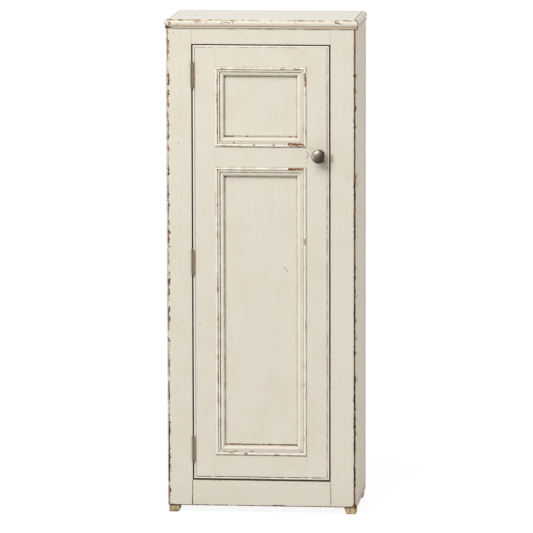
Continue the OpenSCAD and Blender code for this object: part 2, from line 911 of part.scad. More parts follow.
side_left();
side_right();
floor_board();
top_board();
top_cleat_left();
top_cleat_right();
nosing_front();
nosing_left();
nosing_right();
frame_stile_left();
frame_stile_right();
frame_rail_top();
frame_rail_bottom();
door_stop();
bearers_left();
bearers_right();
for (i = [1:back_count])
    back_board(i);
for (i = [0:shelf_count - 1])
    shelf(i);
foot_front_left();
foot_front_right();
foot_back_left();
foot_back_right();
for (i = [0:2])
    hinge_frame_leaf(i);
hinge_pins();
frame_leaf_screws();
door_stile_left();
door_stile_right();
door_rail_top();
door_rail_lock();
door_rail_bottom();
panel_upper();
panel_lower();
for (i = [0:3])
    panel_moulding(i, upper_z0, upper_z1);
for (i = [0:3])
    panel_moulding(i, lower_z0, lower_z1);
for (i = [0:3])
    door_bead(i);
for (i = [0:2])
    hinge_door_leaf(i);
door_leaf_screws();
knob_rose();
knob();
spindle();
latch_tongue();
latch_nut();
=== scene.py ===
# Painted kitchen cupboard: finish, wear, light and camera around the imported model.
import functools
import math
from types import SimpleNamespace

import bmesh
import bpy
from mathutils import Matrix, Vector, noise


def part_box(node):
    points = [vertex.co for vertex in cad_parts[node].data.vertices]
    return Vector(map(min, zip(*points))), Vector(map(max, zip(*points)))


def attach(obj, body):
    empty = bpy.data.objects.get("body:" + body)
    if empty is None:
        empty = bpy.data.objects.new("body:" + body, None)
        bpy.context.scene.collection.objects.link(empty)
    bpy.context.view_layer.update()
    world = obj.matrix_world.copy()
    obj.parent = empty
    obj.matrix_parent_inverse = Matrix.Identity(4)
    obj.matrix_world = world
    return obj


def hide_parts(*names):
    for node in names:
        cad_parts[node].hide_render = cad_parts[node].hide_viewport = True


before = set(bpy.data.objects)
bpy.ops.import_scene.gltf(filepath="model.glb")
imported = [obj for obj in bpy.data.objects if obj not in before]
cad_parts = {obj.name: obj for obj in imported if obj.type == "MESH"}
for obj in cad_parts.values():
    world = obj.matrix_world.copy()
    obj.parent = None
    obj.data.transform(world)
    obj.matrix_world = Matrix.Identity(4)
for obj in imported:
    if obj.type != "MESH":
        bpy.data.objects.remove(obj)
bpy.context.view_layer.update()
mm = 0.001
print("cupboard loaded:", len(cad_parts), "parts")

# Colours of the finishes, from 0 to 255 as they show in plain light
shades = {
    "cream": (230, 223, 207),
    # Lighter and darker copies of the cream: painted light and shade on the mouldings and beads
    "creamPaintedLight": (243, 238, 226),
    "creamWarmPaintedLight": (234, 227, 212),
    "creamPaintedShade": (218, 210, 196),
    "creamAged": (222, 208, 187),
    "creamGrey": (206, 197, 180),
    "topCream": (230, 226, 216),
    "sideCream": (230, 219, 199),
    "sidePaintedShade": (214, 203, 184),
    "innerPaint": (214, 204, 184),
    "dirtyCream": (186, 176, 158),
    # Brown used for dirt and for painted shade
    "grimeAndShade": (112, 80, 42),
    "dark": (46, 27, 8),
    "brown": (80, 50, 16),
    "grey": (118, 93, 60),
    "rust": (134, 86, 32),
    "amber": (152, 113, 46),
    "tan": (186, 158, 120),
    "hingePaint": (176, 157, 130),
    "footWood": (206, 184, 143),
    "footDark": (144, 112, 72),
    "iron": (88, 76, 60),
    "ironDark": (50, 40, 30),
    "pewter": (134, 124, 110),
    "pewterDark": (70, 62, 54),
    # The knob's painted shade, painted lit side and painted highlight
    "knobPaintedShade": (52, 40, 30),
    "knobPaintedLit": (140, 129, 117),
    "knobPaintedHighlight": (198, 192, 184),
}


def linear(shade):
    # The linear colour that a socket takes
    parts = [value / 255 for value in shade]
    return tuple(p / 12.92 if p <= 0.04045 else ((p + 0.055) / 1.055) ** 2.4 for p in parts) + (1.0,)


finishes = {name: linear(shade) for name, shade in shades.items()}


# Small helpers for shader nodes

def treeOf(*values):
    # The node tree of the first socket among some values
    return next(value.id_data for value in values if isinstance(value, bpy.types.NodeSocket))


def plug(socket, value):
    # Takes a socket, a plain value or the name of a finish colour
    if isinstance(value, bpy.types.NodeSocket):
        socket.id_data.links.new(value, socket)
    else:
        socket.default_value = finishes[value] if isinstance(value, str) else value


def addNode(tree, kind, inputs=None, **settings):
    node = tree.nodes.new("ShaderNode" + kind)
    for key, value in settings.items():
        setattr(node, key, value)
    for key, value in (inputs or {}).items():
        plug(node.inputs[key], value)
    return node


def calc(operation, a, b=0.0, c=0.0):
    return addNode(treeOf(a, b, c), "Math", {0: a, 1: b, 2: c}, operation=operation).outputs[0]


plus = functools.partial(calc, "ADD")
minus = functools.partial(calc, "SUBTRACT")
times = functools.partial(calc, "MULTIPLY")
timesPlus = functools.partial(calc, "MULTIPLY_ADD")
lesser = functools.partial(calc, "MINIMUM")
greater = functools.partial(calc, "MAXIMUM")


def apart(a, b=0.0):
    return calc("ABSOLUTE", minus(a, b))


def millimetres(value):
    return times(value, 1 / mm)


def calcVector(operation, a, b=(0.0, 0.0, 0.0)):
    node = addNode(treeOf(a, b), "VectorMath", {0: a, 1: b}, operation=operation)
    return node.outputs["Value" if operation in ("LENGTH", "DISTANCE", "DOT_PRODUCT") else "Vector"]


def split(vector):
    return addNode(vector.id_data, "SeparateXYZ", {0: vector}).outputs


def ramp(value, start, end, low=0.0, high=1.0):
    # Smooth step from low at start to high at end
    places = {"Value": value, "From Min": start, "From Max": end, "To Min": low, "To Max": high}
    return addNode(value.id_data, "MapRange", places, interpolation_type="SMOOTHSTEP").outputs["Result"]


def blend(amount, under, over):
    places = {0: amount, 6: under, 7: over}
    return addNode(treeOf(amount, under, over), "Mix", places, data_type="RGBA").outputs[2]


def blendValue(amount, under, over):
    return addNode(amount.id_data, "Mix", {0: amount, 2: under, 3: over}, data_type="FLOAT").outputs[0]


def cloudy(position, lump, detail=2.0, roughness=0.5):
    # Cloudy pattern from 0 to 1, with lumps of that many millimetres
    places = {"Vector": position, "Scale": 1 / (lump * mm), "Detail": detail, "Roughness": roughness}
    return addNode(position.id_data, "TexNoise", places).outputs[0]


def newGroup(name, vectors, numbers, gives, build):
    # The build function takes the inputs and gives the outputs of the group, both in order
    tree = bpy.data.node_groups.new(name, "ShaderNodeTree")
    for label in vectors + numbers + gives:
        tree.interface.new_socket(label, in_out="OUTPUT" if label in gives else "INPUT",
                                  socket_type="NodeSocketVector" if label in vectors else "NodeSocketFloat")
    given, taken = tree.nodes.new("NodeGroupInput").outputs, tree.nodes.new("NodeGroupOutput").inputs
    results = build(*(given[label] for label in vectors + numbers))
    for label, value in zip(gives, results, strict=True):
        plug(taken[label], value)
    return tree


# Effects that several finishes share

def boxInset(position, low, high):
    # How far inside a box a place is, in metres along X, Y and Z
    below = calcVector("SUBTRACT", position, low)
    above = calcVector("SUBTRACT", high, position)
    return split(calcVector("MINIMUM", below, above))


def arrisNodes(position, low, high):
    # Distance in millimetres from the nearest arris of a board's box
    x, y, z = boxInset(position, low, high)
    return [millimetres(greater(lesser(x, y), lesser(greater(x, y), z)))]


def ringNodes(position, low, high):
    # Millimetres in from the outline of a panel or of the door, and from the line of its mitres
    inset = boxInset(position, low, high)
    x, z = inset["X"], inset["Z"]
    return [millimetres(lesser(x, z)), millimetres(apart(x, z))]


def wornNodes(distance, ragged, patchy, reach, amount):
    # Paint gone along an arris: reach in millimetres, amount from 0 to 1 of its length
    start = minus(1.0, amount)
    here = ramp(patchy, minus(start, 0.15), plus(start, 0.15))
    reached = times(times(reach, here), timesPlus(ragged, 1.5, 0.25))
    return [ramp(minus(distance, reached), 0.1, -0.35)]


def chipNodes(position, centre, size, ragged, softness):
    # One chip or stain with a ragged edge
    offset = calcVector("DIVIDE", calcVector("SUBTRACT", position, centre), size)
    reach = timesPlus(minus(ragged, 0.5), 0.9, calcVector("LENGTH", offset))
    return [ramp(reach, 1.0, minus(1.0, softness))]


def strokeNodes(position, start, along, shrink, ragged, patchy, halfWidth, broken):
    # A scratch, crack or worn stretch: a ragged line from a start, along a vector
    tree = position.id_data
    offset = calcVector("SUBTRACT", position, start)
    run = times(calcVector("DOT_PRODUCT", offset, along), shrink)
    run = addNode(tree, "Clamp", {0: run, 1: 0.0, 2: 1.0}).outputs[0]
    reached = addNode(tree, "VectorMath", {0: along, "Scale": run}, operation="SCALE").outputs[0]
    away = millimetres(calcVector("DISTANCE", offset, reached))
    line = ramp(minus(away, times(halfWidth, timesPlus(ragged, 1.3, 0.35))), 0.35, -0.35)
    low = minus(broken, 0.1)
    return [times(line, ramp(patchy, low, plus(low, 0.12)))]


def brushNodes(position, stretched):
    # Streaks left by the brush, cloudy ageing, specks, and two patterns that break up wear
    cells = addNode(position.id_data, "TexVoronoi", {"Vector": position, "Scale": 1 / (26 * mm)}).outputs
    size = times(ramp(split(cells["Color"])[0], 0.55, 1.0), 0.055)
    return [
        cloudy(stretched, 1.3, 2.0), cloudy(stretched, 8.0, 3.0, 0.6), cloudy(position, 90.0, 3.0, 0.6),
        ramp(minus(cells["Distance"], size), 0.012, -0.008),
        ramp(cloudy(position, 4.5, 3.0, 0.7), 0.3, 0.7), ramp(cloudy(position, 22.0, 3.0, 0.6), 0.3, 0.7)]


def grainNodes(stretched):
    # Growth rings and pores of a softwood board
    tree = stretched.id_data
    warp = cloudy(stretched, 30.0, 2.0)
    shift = addNode(tree, "CombineXYZ", {0: times(warp, 0.02), 1: times(warp, 0.012)}).outputs[0]
    places = {"Vector": calcVector("ADD", stretched, shift), "Scale": 34.0, "Distortion": 3.0, "Detail": 2.0}
    wave = addNode(tree, "TexWave", places, wave_type="RINGS", rings_direction="SPHERICAL")
    return [wave.outputs["Fac"], cloudy(stretched, 0.9, 2.0, 0.6)]


inBox = ["position", "low", "high"]
arrisDistance = newGroup("arrisDistance", inBox, [], ["distance"], arrisNodes)
ringInset = newGroup("ringInset", inBox, [], ["inset", "mitre"], ringNodes)
wornArris = newGroup("wornArris", [], ["distance", "ragged", "patchy", "reach", "amount"], ["mask"],
                     wornNodes)
chipSpot = newGroup("chipSpot", ["position", "centre", "size"], ["ragged", "softness"], ["mask"], chipNodes)
strokeMark = newGroup("strokeMark", ["position", "start", "along"],
                      ["shrink", "ragged", "patchy", "halfWidth", "broken"], ["mask"], strokeNodes)
brushMarks = newGroup("brushMarks", ["position", "stretched"], [],
                      ["fine", "broad", "cloud", "speck", "ragged", "patchy"], brushNodes)
woodGrain = newGroup("woodGrain", ["stretched"], [], ["rings", "pores"], grainNodes)


# Layered finishes: each starts as a coat, takes wear on top and is closed into its shader

seedShift = (0.731, 1.37, 0.517)   # metres that a seed of 1 moves the patterns along X, Y and Z
grainStretch = 0.045               # how slowly the streaks change along the grain
bareRoughness = 0.78               # where the paint is gone


def useGroup(coat, group, **inputs):
    # Runs a group on a coat, whose own place and marks fill the inputs that aren't given
    node = addNode(coat.tree, "Group", node_tree=group)
    given = coat.shared | inputs
    for socket in node.inputs:
        plug(socket, given[socket.name])
    return node.outputs


def startCoat(name, limits, grain, seed, colour="cream", aged="creamAged", streaks=0.10, rough=0.46):
    # Paint or metal with streaks along its grain; limits are the corners of the box whose arrises wear
    material = bpy.data.materials.new(name + "Finish")
    material.use_nodes = True
    tree = material.node_tree
    place = addNode(tree, "TexCoord").outputs["Object"]
    shifted = calcVector("ADD", place, tuple(seed * value for value in seedShift))
    along = [1.0, 1.0, 1.0]
    along["xyz".index(grain)] = grainStretch
    stretched = calcVector("MULTIPLY", shifted, tuple(along))
    coat = SimpleNamespace(material=material, tree=tree, chip=None)
    coat.shared = {"position": place, "stretched": stretched}
    coat.x, coat.y, coat.z = map(millimetres, split(place))
    coat.distance = useGroup(coat, arrisDistance, low=limits[0], high=limits[1])["distance"]
    coat.marks = marks = useGroup(coat, brushMarks, position=shifted)
    coat.shared |= {"ragged": marks["ragged"], "patchy": marks["patchy"], "distance": coat.distance}
    colour = blend(times(ramp(marks["cloud"], 0.42, 0.72), 0.36), colour, aged)
    colour = blend(times(ramp(marks["broad"], 0.45, 0.75), streaks * 2.2), colour, aged)
    colour = blend(times(ramp(marks["fine"], 0.5, 0.8), streaks), colour, "creamGrey")
    coat.colour = blend(times(marks["speck"], 0.75), colour, "grimeAndShade")
    coat.rough = timesPlus(marks["fine"], 0.16, rough - 0.08)
    coat.height = timesPlus(marks["fine"], 0.35, times(marks["broad"], 0.3))
    return coat


def chipColour(coat):
    # What shows where the paint is gone: nearly black, weathered grey or orange-brown wood
    if coat.chip is None:
        weathered = blend(ramp(coat.marks["cloud"], 0.42, 0.60), "dark", "grey")
        coat.chip = blend(ramp(coat.marks["broad"], 0.54, 0.68), weathered, "rust")
    return coat.chip


def wearOff(coat, mask, colour=None, depth=0.7, strength=1.0):
    # Takes the paint off where the mask is 1 and shows a colour, or else the wood of a chip
    shown = times(mask, strength) if strength != 1.0 else mask
    coat.colour = blend(shown, coat.colour, colour or chipColour(coat))
    if depth:
        coat.rough = blendValue(shown, coat.rough, bareRoughness)
        coat.height = timesPlus(shown, -depth, coat.height)


def wearArris(coat, reach, amount, colour=None, strength=1.0, distance=None):
    distance = coat.distance if distance is None else distance
    mask = useGroup(coat, wornArris, distance=distance, reach=reach, amount=amount)["mask"]
    wearOff(coat, mask, colour, strength=strength)


def chipAt(coat, centre, size, colour, strength=1.0, softness=0.3, depth=0.7):
    # A chip or stain, its place and half size in millimetres
    centre, size = Vector(centre) * mm, Vector(size) * mm
    mask = useGroup(coat, chipSpot, centre=centre, size=size, softness=softness)["mask"]
    wearOff(coat, mask, colour, depth, strength)


def strokeAt(coat, start, end, halfWidth, colour, strength=1.0, broken=0.0):
    # A scratch, crack or worn stretch between two places, all in millimetres
    along = (Vector(end) - Vector(start)) * mm
    mask = useGroup(coat, strokeMark, start=Vector(start) * mm, along=along, shrink=1 / along.length_squared,
                    halfWidth=halfWidth, broken=broken)["mask"]
    wearOff(coat, mask, colour, strength=strength)


def drawMarks(coat, marks, y):
    # Strokes on a face at that y: from x and z, to x and z, half width, colour, strength, how broken
    for mark in marks:
        strokeAt(coat, (mark[0], y, mark[1]), (mark[2], y, mark[3]), *mark[4:])


def dirtAndShadeWhere(coat, value, start, end, strength, colour="grimeAndShade"):
    # Dirt, and in some places painted shade, where a value runs from start, none, to end, full, broken up by
    # the patches
    broken = timesPlus(coat.marks["patchy"], 0.9, 0.35)
    wearOff(coat, times(times(ramp(value, start, end), broken), strength), colour, depth=0.0)


def nearLine(coat, x, y, side):
    # Distance in millimetres from an upright line at that x and y, mirrored where side is -1
    flat = calcVector("MULTIPLY", coat.shared["position"], (side, 1.0, 0.0))
    return millimetres(calcVector("DISTANCE", flat, (x * mm, y * mm, 0.0)))


def insetFrom(coat, ring):
    return useGroup(coat, ringInset, low=ring[0], high=ring[1])


def closeCoat(coat, bump=0.35, depth=0.25, metallic=0.0, shine=0.25):
    shader = coat.tree.nodes["Principled BSDF"]
    relief = {"Height": coat.height, "Strength": bump, "Distance": depth * mm}
    values = {"Base Color": coat.colour, "Roughness": coat.rough, "Metallic": metallic,
              "Specular IOR Level": shine, "Normal": addNode(coat.tree, "Bump", relief).outputs["Normal"]}
    for label, value in values.items():
        plug(shader.inputs[label], value)
    return coat.material


# Meshes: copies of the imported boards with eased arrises, and mouldings run from their own sections

knocks = {
    "flatArea": 2.0e-5,    # square metres; a larger face stays flat where its arris is knocked
    "flatNormal": 0.995,   # a corner whose normal is this close to an axis lies in a flat face
    "endNormal": 0.1,      # one whose normal leans along the board by more belongs to its end
    "often": 0.1,          # more than 0 knocks more than half of the length
}


def addObject(name, data):
    thing = bpy.data.objects.new(name, data)
    bpy.context.scene.collection.objects.link(thing)
    return thing


def finishMesh(mesh, name, sharp=None):
    bmesh.ops.recalc_face_normals(mesh, faces=mesh.faces)
    data = bpy.data.meshes.new(name)
    mesh.to_mesh(data)
    mesh.free()
    if sharp:
        data.shade_smooth()
        data.set_sharp_from_angle(angle=math.radians(sharp))
    return addObject(name, data)


def mergedCopy(node):
    mesh = bmesh.new()
    mesh.from_mesh(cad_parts[node].data)
    bmesh.ops.remove_doubles(mesh, verts=mesh.verts, dist=0.01 * mm)
    bmesh.ops.dissolve_limit(mesh, angle_limit=math.radians(0.6), verts=mesh.verts, edges=mesh.edges)
    return mesh


def cutMesh(mesh, place, normal, **options):
    bmesh.ops.bisect_plane(mesh, geom=mesh.verts[:] + mesh.edges[:] + mesh.faces[:], plane_co=place,
                           plane_no=normal, **options)


def roundOff(mesh, parts, size, segments, affect):
    bmesh.ops.bevel(mesh, geom=parts, offset=size * mm, offset_type="OFFSET", segments=segments, profile=0.5,
                    affect=affect, clamp_overlap=True, material=-1)


def nick(mesh, axis, depth, spacing=9.0, lump=13.0):
    # Cuts the mesh across and pushes what isn't flat inwards by chance, as knocks on old arrises do
    direction = Vector((axis == "x", axis == "y", axis == "z"))
    places = [vert.co.dot(direction) for vert in mesh.verts]
    start, length = min(places), max(places) - min(places)
    cuts = int(length / (spacing * mm))
    for i in range(1, cuts):
        cutMesh(mesh, direction * (start + length * i / cuts), direction, dist=1e-6)
    bmesh.ops.recalc_face_normals(mesh, faces=mesh.faces)
    mesh.normal_update()
    moves = []
    for vert in mesh.verts:
        normal = vert.normal
        flat = max(abs(value) for value in normal) >= knocks["flatNormal"]
        if not flat and abs(normal.dot(direction)) < knocks["endNormal"]:
            move = normal * max(0.0, noise.noise(vert.co / (lump * mm)) + knocks["often"]) * depth * mm
            for face in vert.link_faces:
                if face.calc_area() > knocks["flatArea"]:
                    move -= face.normal * move.dot(face.normal)
            moves.append((vert, move))
    for vert, move in moves:
        vert.co -= move


def easedBoard(node, name, ease=0.5, shortest=14.0, nicks=None):
    mesh = mergedCopy(node)
    arrises = [edge for edge in mesh.edges if edge.is_manifold and edge.is_convex
               and edge.calc_length() > shortest * mm and edge.calc_face_angle() > math.radians(40)]
    roundOff(mesh, arrises, ease, 2, "EDGES")
    if nicks:
        nick(mesh, *nicks)
    return finishMesh(mesh, name)


def smoothCopy(node, name):
    return finishMesh(mergedCopy(node), name, 32)


def sectionFace(corners, segments=8):
    # A closed section in the YZ plane; each corner is across, up and how far it is rounded, in millimetres
    mesh = bmesh.new()
    points = [mesh.verts.new((0, across * mm, up * mm)) for across, up, rounding in corners]
    mesh.faces.new(points)
    for point, (across, up, rounding) in zip(points, corners):
        if rounding:
            roundOff(mesh, [point], rounding, segments, "VERTICES")
    return mesh


def runMoulding(corners, length, ends, place, name, nicks, reach=20.0):
    # Runs a section along X; ends give each end's mitre: 1 or -1 slants it with the width, 0 leaves it square
    mesh = sectionFace(corners)
    start = -reach * mm if ends[0] else 0.0
    finish = length + (reach * mm if ends[1] else 0.0)
    bmesh.ops.translate(mesh, verts=mesh.verts, vec=(start, 0, 0))
    grown = bmesh.ops.extrude_face_region(mesh, geom=list(mesh.faces))["geom"]
    far = [part for part in grown if isinstance(part, bmesh.types.BMVert)]
    bmesh.ops.translate(mesh, verts=far, vec=(finish - start, 0, 0))
    for slant, where, out in ((ends[0], 0.0, -1), (ends[1], length, 1)):
        if slant:
            cutMesh(mesh, (where, 0, 0), (out, slant, 0), dist=1e-7, clear_outer=True)
            rim = [edge for edge in mesh.edges if edge.is_boundary]
            bmesh.ops.edgeloop_fill(mesh, edges=rim)
    nick(mesh, "x", nicks, 11.0)
    bmesh.ops.transform(mesh, matrix=place, verts=mesh.verts)
    return finishMesh(mesh, name, 28)


def axes(origin, along, across, up):
    # Matrix that lays local X, Y and Z along three directions from an origin
    matrix = Matrix((Vector(along), Vector(across), Vector(up))).transposed().to_4x4()
    matrix.translation = Vector(origin)
    return matrix


def dress(piece, body, node, material):
    piece.data.materials.clear()
    piece.data.materials.append(material)
    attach(piece, body)
    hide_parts(node)


# Places that several pieces share, in metres up to caseHigh and then in millimetres
sides = ["bottom", "left", "top", "right"]
hingeLevels = ("lower", "middle", "upper")


def ringBox(start):
    lows, highs = zip(*(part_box(start + side) for side in sides))
    return Vector(map(min, *lows)), Vector(map(max, *highs))


doorRing, upperRing, lowerRing = ringBox("door_bead_"), ringBox("upper_moulding_"), ringBox("lower_moulding_")
caseLow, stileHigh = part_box("frame_stile_left")
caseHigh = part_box("side_right")[1]
frameFront, frameBack = caseLow.y / mm, stileHigh.y / mm
caseRight, caseBack, caseTop = caseHigh.x / mm, caseHigh.y / mm, caseHigh.z / mm
markY = -138   # just before the faces of frame and door, where the marks on them lie


# Face frame: stiles with a chamfered and badly worn outer arris, and two rails

frameShape = {
    "chamfer": 6.0,      # width of the chamfer on the outer arris
    "nick": 1.3,         # deepest knock in an arris
    "wear": 0.5,         # half width of the wear on the other arrises
    "wornShare": 0.35,   # share of an arris that has lost its paint
    "shadeAndDirtFrom": 1390,    # height where the painted shadow and dirt under the top start
    "shadeAndDirtFull": 1395,    # and where they are full
    "chamferMarkY": -137,
}
arrisX = caseRight - frameShape["chamfer"]
chamferY = frameFront + frameShape["chamfer"]

# Wear of the outer arrises, -1 left and 1 right: dirt on the chamfer, reach and share of the wear on its
# front arris, share on the other, how far out the worn stretches lie
chamferWear = {
    -1: {"dirt": 0.5, "reach": 1.1, "share": 0.7, "outerShare": 0.7, "shift": 1.6},
    1: {"dirt": 0.1, "reach": 1.6, "share": 0.8, "outerShare": 0.15, "shift": -0.7},
}
# Those stretches: from height, to height, half width, colour
stretches = {
    -1: [
        (1380, 1303, 1.2, "rust"), (1163, 1129, 1.3, "dark"), (1103, 1046, 1.1, "dark"),
        (960, 902, 2.2, "dark"), (882, 839, 1.4, "dark"), (802, 792, 2, "rust"), (663, 625, 1.5, "grey"),
        (585, 527, 1.5, "dark"), (469, 405, 2, "rust"), (384, 326, 2.2, "dark"), (318, 300, 2.2, "rust"),
        (285, 262, 1.8, "grey"), (254, 174, 2.3, "dark"), (166, 93, 2.8, "dark"), (88, 22, 2.2, "rust")],
    1: [
        (1395, 1347, 1.5, "rust"), (1306, 1249, 1.5, "grey"), (1230, 1130, 1.2, "grey"),
        (956, 908, 2.4, "dark"), (865, 793, 1.9, "dark"), (775, 745, 1.6, "rust"), (612, 545, 2.2, "dark"),
        (460, 420, 1.6, "rust"), (398, 303, 2.2, "dark"), (285, 178, 2.1, "dark"), (140, 82, 2.8, "dark"),
        (80, 22, 1.8, "rust")],
}

# Other marks: from x and z, to x and z, half width, colour, strength, how broken
frameMarks = {
    "frame_stile_left": [
        (-200.6, 92, -200.9, 19, 1.35, "brown", 0.95), (-200.8, 48, -201, 19, 1.6, "dark", 0.95),
        (-265, 21, -238, 20.6, 2.2, "dark"), (-200.4, 1396, -200.2, 1350, 0.5, "grimeAndShade", 0.6, 0.15),
        (-252, 1382, -250, 1380, 1.2, "rust", 0.5), (-207, 1291, -201, 1289, 0.7, "grimeAndShade", 0.5),
        (-239, 1064, -236, 1069, 0.9, "rust", 0.6), (-272, 21, -202, 20.6, 1.5, "brown", 0.95, 0.1),
        (-255, 130, -230, 118, 0.4, "grimeAndShade", 0.35, 0.3), (-228, 560, -226, 548, 0.5, "grimeAndShade", 0.4)],
    "frame_stile_right": [
        (197, 90, 197.3, 19, 1.1, "grimeAndShade", 0.85, 0.15), (199, 20.8, 272, 21, 1.7, "brown", 0.95, 0.1),
        (197, 1396, 196.8, 1350, 0.4, "grimeAndShade", 0.4, 0.25), (258, 22, 268, 31, 2.6, "rust", 0.95),
        (214, 1225, 232, 1219, 0.5, "grimeAndShade", 0.3, 0.2), (222, 400, 226, 382, 0.5, "grimeAndShade", 0.3),
        (247, 980, 248, 972, 0.8, "rust", 0.4)],
    "frame_rail_top": [
        (-195, 1400, -188, 1396, 1.2, "dark", 0.7), (-60, 1385, -54, 1384, 0.8, "grimeAndShade", 0.4),
        (150, 1398, 153, 1384, 0.6, "grimeAndShade", 0.4)],
    "frame_rail_bottom": [
        (-199, 20.6, 195, 20.8, 1.9, "brown", 0.95, 0.1), (30, 22, 62, 22, 1.9, "dark", 0.9, 0.1),
        (-150, 92, -120, 92.6, 0.9, "rust", 0.5, 0.1), (60, 88, 74, 86, 0.6, "grimeAndShade", 0.35)],
}

# Soft stains beside the knob, the one on the door stile also a painted shadow of the knob: centre, half size,
# colour, strength
stainsAndKnobShadow = {
    "frame_stile_right": [((199.5, markY, 1027), (10, 8, 18), "amber", 0.75)],
    "door_stile_right": [((180, markY, 1018), (12, 8, 11), "amber", 0.7)],
}


def addStainsAndKnobShadow(coat, node):
    for centre, size, colour, strength in stainsAndKnobShadow.get(node, []):
        chipAt(coat, centre, size, colour, strength, 0.95, 0.0)


def gapShadeAndDirt(coat, share):
    # Brown painted shade and dirt on the faces that look across the running gap of the door
    deep = ramp(coat.y, frameFront + 0.3, frameFront + 1.8, 0.0, 0.92)
    deep = times(deep, ramp(coat.y, frameFront + 12, frameFront + 5, 0.25, 1.0))
    wearOff(coat, times(deep, share), "brown", depth=0.0)


def wearChamfer(coat, side):
    # A dirty chamfer with a dark ragged line along both its arrises and worse stretches between
    look = chamferWear[side]
    front = nearLine(coat, arrisX, frameFront, side)
    outer = nearLine(coat, caseRight, chamferY, side)
    width = frameShape["chamfer"] * math.sqrt(2)
    dirtAndShadeWhere(coat, plus(front, outer), width + 0.8, width + 0.2, look["dirt"], "dirtyCream")
    wearArris(coat, look["reach"], look["share"], distance=front)
    if side > 0:
        inside = nearLine(coat, arrisX - 1.3, frameFront, side)
        ragged = timesPlus(coat.marks["ragged"], -1.5, inside)
        wearOff(coat, ramp(ragged, 2.3, 1.3, 0.0, 0.92), "brown")
    wearArris(coat, 1.5, look["outerShare"], distance=outer, strength=0.85)
    wearArris(coat, 3.6, 0.35, distance=front)
    x = (arrisX + look["shift"]) * side
    for high, low, halfWidth, colour in stretches[side]:
        drawMarks(coat, [(x, high, x, low, halfWidth, colour, 0.95, 0.12)], frameShape["chamferMarkY"])


def frameMember(node, name, grain, seed):
    part = frameShape
    low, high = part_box(node)
    coat = startCoat(name, (low, high), grain, seed)
    dirtAndShadeWhere(coat, coat.distance, 1.6, 0.0, 0.2)
    # Painted shadow and dirt under the bead of the top
    dirtAndShadeWhere(coat, coat.z, part["shadeAndDirtFrom"], part["shadeAndDirtFull"], 0.7, "brown")
    wearArris(coat, part["wear"], part["wornShare"], strength=0.85)
    coat.colour = blend(ramp(coat.z, 130.0, 40.0, 0.0, 0.2), coat.colour, "creamGrey")
    if grain == "z":
        side = -1 if "Left" in name else 1
        wearChamfer(coat, side)
        gapShadeAndDirt(coat, ramp(times(coat.x, side), 212.0, 206.0))
        opening = (high if side < 0 else low).x / mm
        drawMarks(coat, [(opening, 1350, opening, 94, 0.7, "brown", 0.9, 0.05)], frameFront)
    else:
        gapShadeAndDirt(coat, 1.0)
    drawMarks(coat, frameMarks[node], markY)
    if node == "frame_stile_right":
        # The knocked lower corner goes on round the chamfer
        strokeAt(coat, (266, markY, 30), (271, markY + 4, 20), 2.6, "dark", 0.95)
    addStainsAndKnobShadow(coat, node)
    piece = easedBoard(node, name, 0.6, nicks=(grain, part["nick"]))
    dress(piece, "carcass", node, closeCoat(coat))


frameMember("frame_stile_left", "faceStileLeft", "z", 3.1)
frameMember("frame_stile_right", "faceStileRight", "z", 5.7)
frameMember("frame_rail_top", "faceRailTop", "x", 7.3)
frameMember("frame_rail_bottom", "faceRailBottom", "x", 9.9)
print("face frame finished")


# Door: framed, with a beaded edge, flat panels and planted mouldings

doorMarks = {
    "door_stile_right": [
        (122.5, 1053, 136, 1037, 0.9, "grimeAndShade", 0.6, 0.05),
        (136, 1037, 121.5, 1016, 0.9, "grimeAndShade", 0.75, 0.05), (121, 1016, 124, 1015.5, 1.3, "grimeAndShade", 0.8),
        (129, 1016, 132, 1017, 1, "rust", 0.5), (140, 1053, 147, 1056, 1.1, "rust", 0.45),
        (151, 985, 153, 984, 0.9, "rust", 0.5), (186, 1010, 188, 985, 1.6, "rust", 0.4, 0.1),
        (150, 640, 151, 610, 0.4, "grimeAndShade", 0.3, 0.1), (170, 240, 178, 236, 0.5, "grimeAndShade", 0.3)],
    "door_stile_left": [
        (-182, 1272, -181, 1268, 1, "grimeAndShade", 0.6), (-160, 300, -159, 270, 0.4, "grimeAndShade", 0.3, 0.1)],
    "door_rail_lock": [(60, 1050, 74, 1048, 0.5, "grimeAndShade", 0.3)],
    "door_rail_top": [(-30, 1310, -18, 1312, 0.4, "grimeAndShade", 0.3)],
    "door_rail_bottom": [(40, 132, 52, 131, 0.5, "grimeAndShade", 0.35)],
}


def doorMember(node, name, grain, seed, rings):
    # The rings come with how dark the dirt and painted shadow beside them are; the painted shadow is darker to
    # the right of each moulding and below it
    coat = startCoat(name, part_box(node), grain, seed)
    dirtAndShadeWhere(coat, coat.distance, 1.2, 0.0, 0.2)
    for ring, strength in rings:
        dirtAndShadeWhere(coat, insetFrom(coat, ring)["inset"], -3.4, -0.6, strength, "amber")
    drawMarks(coat, doorMarks.get(node, []), markY)
    addStainsAndKnobShadow(coat, node)
    dress(easedBoard(node, name, 0.35), "door", node, closeCoat(coat))


doorMember("door_stile_left", "doorStileLeft", "z", 12.3, [(upperRing, 0.18), (lowerRing, 0.15)])
doorMember("door_stile_right", "doorStileRight", "z", 14.9, [(upperRing, 0.7), (lowerRing, 0.7)])
doorMember("door_rail_top", "doorRailTop", "x", 16.1, [(upperRing, 0.22)])
doorMember("door_rail_lock", "doorRailLock", "x", 18.7, [(upperRing, 0.95), (lowerRing, 0.3)])
doorMember("door_rail_bottom", "doorRailBottom", "x", 20.3, [(lowerRing, 1.0)])

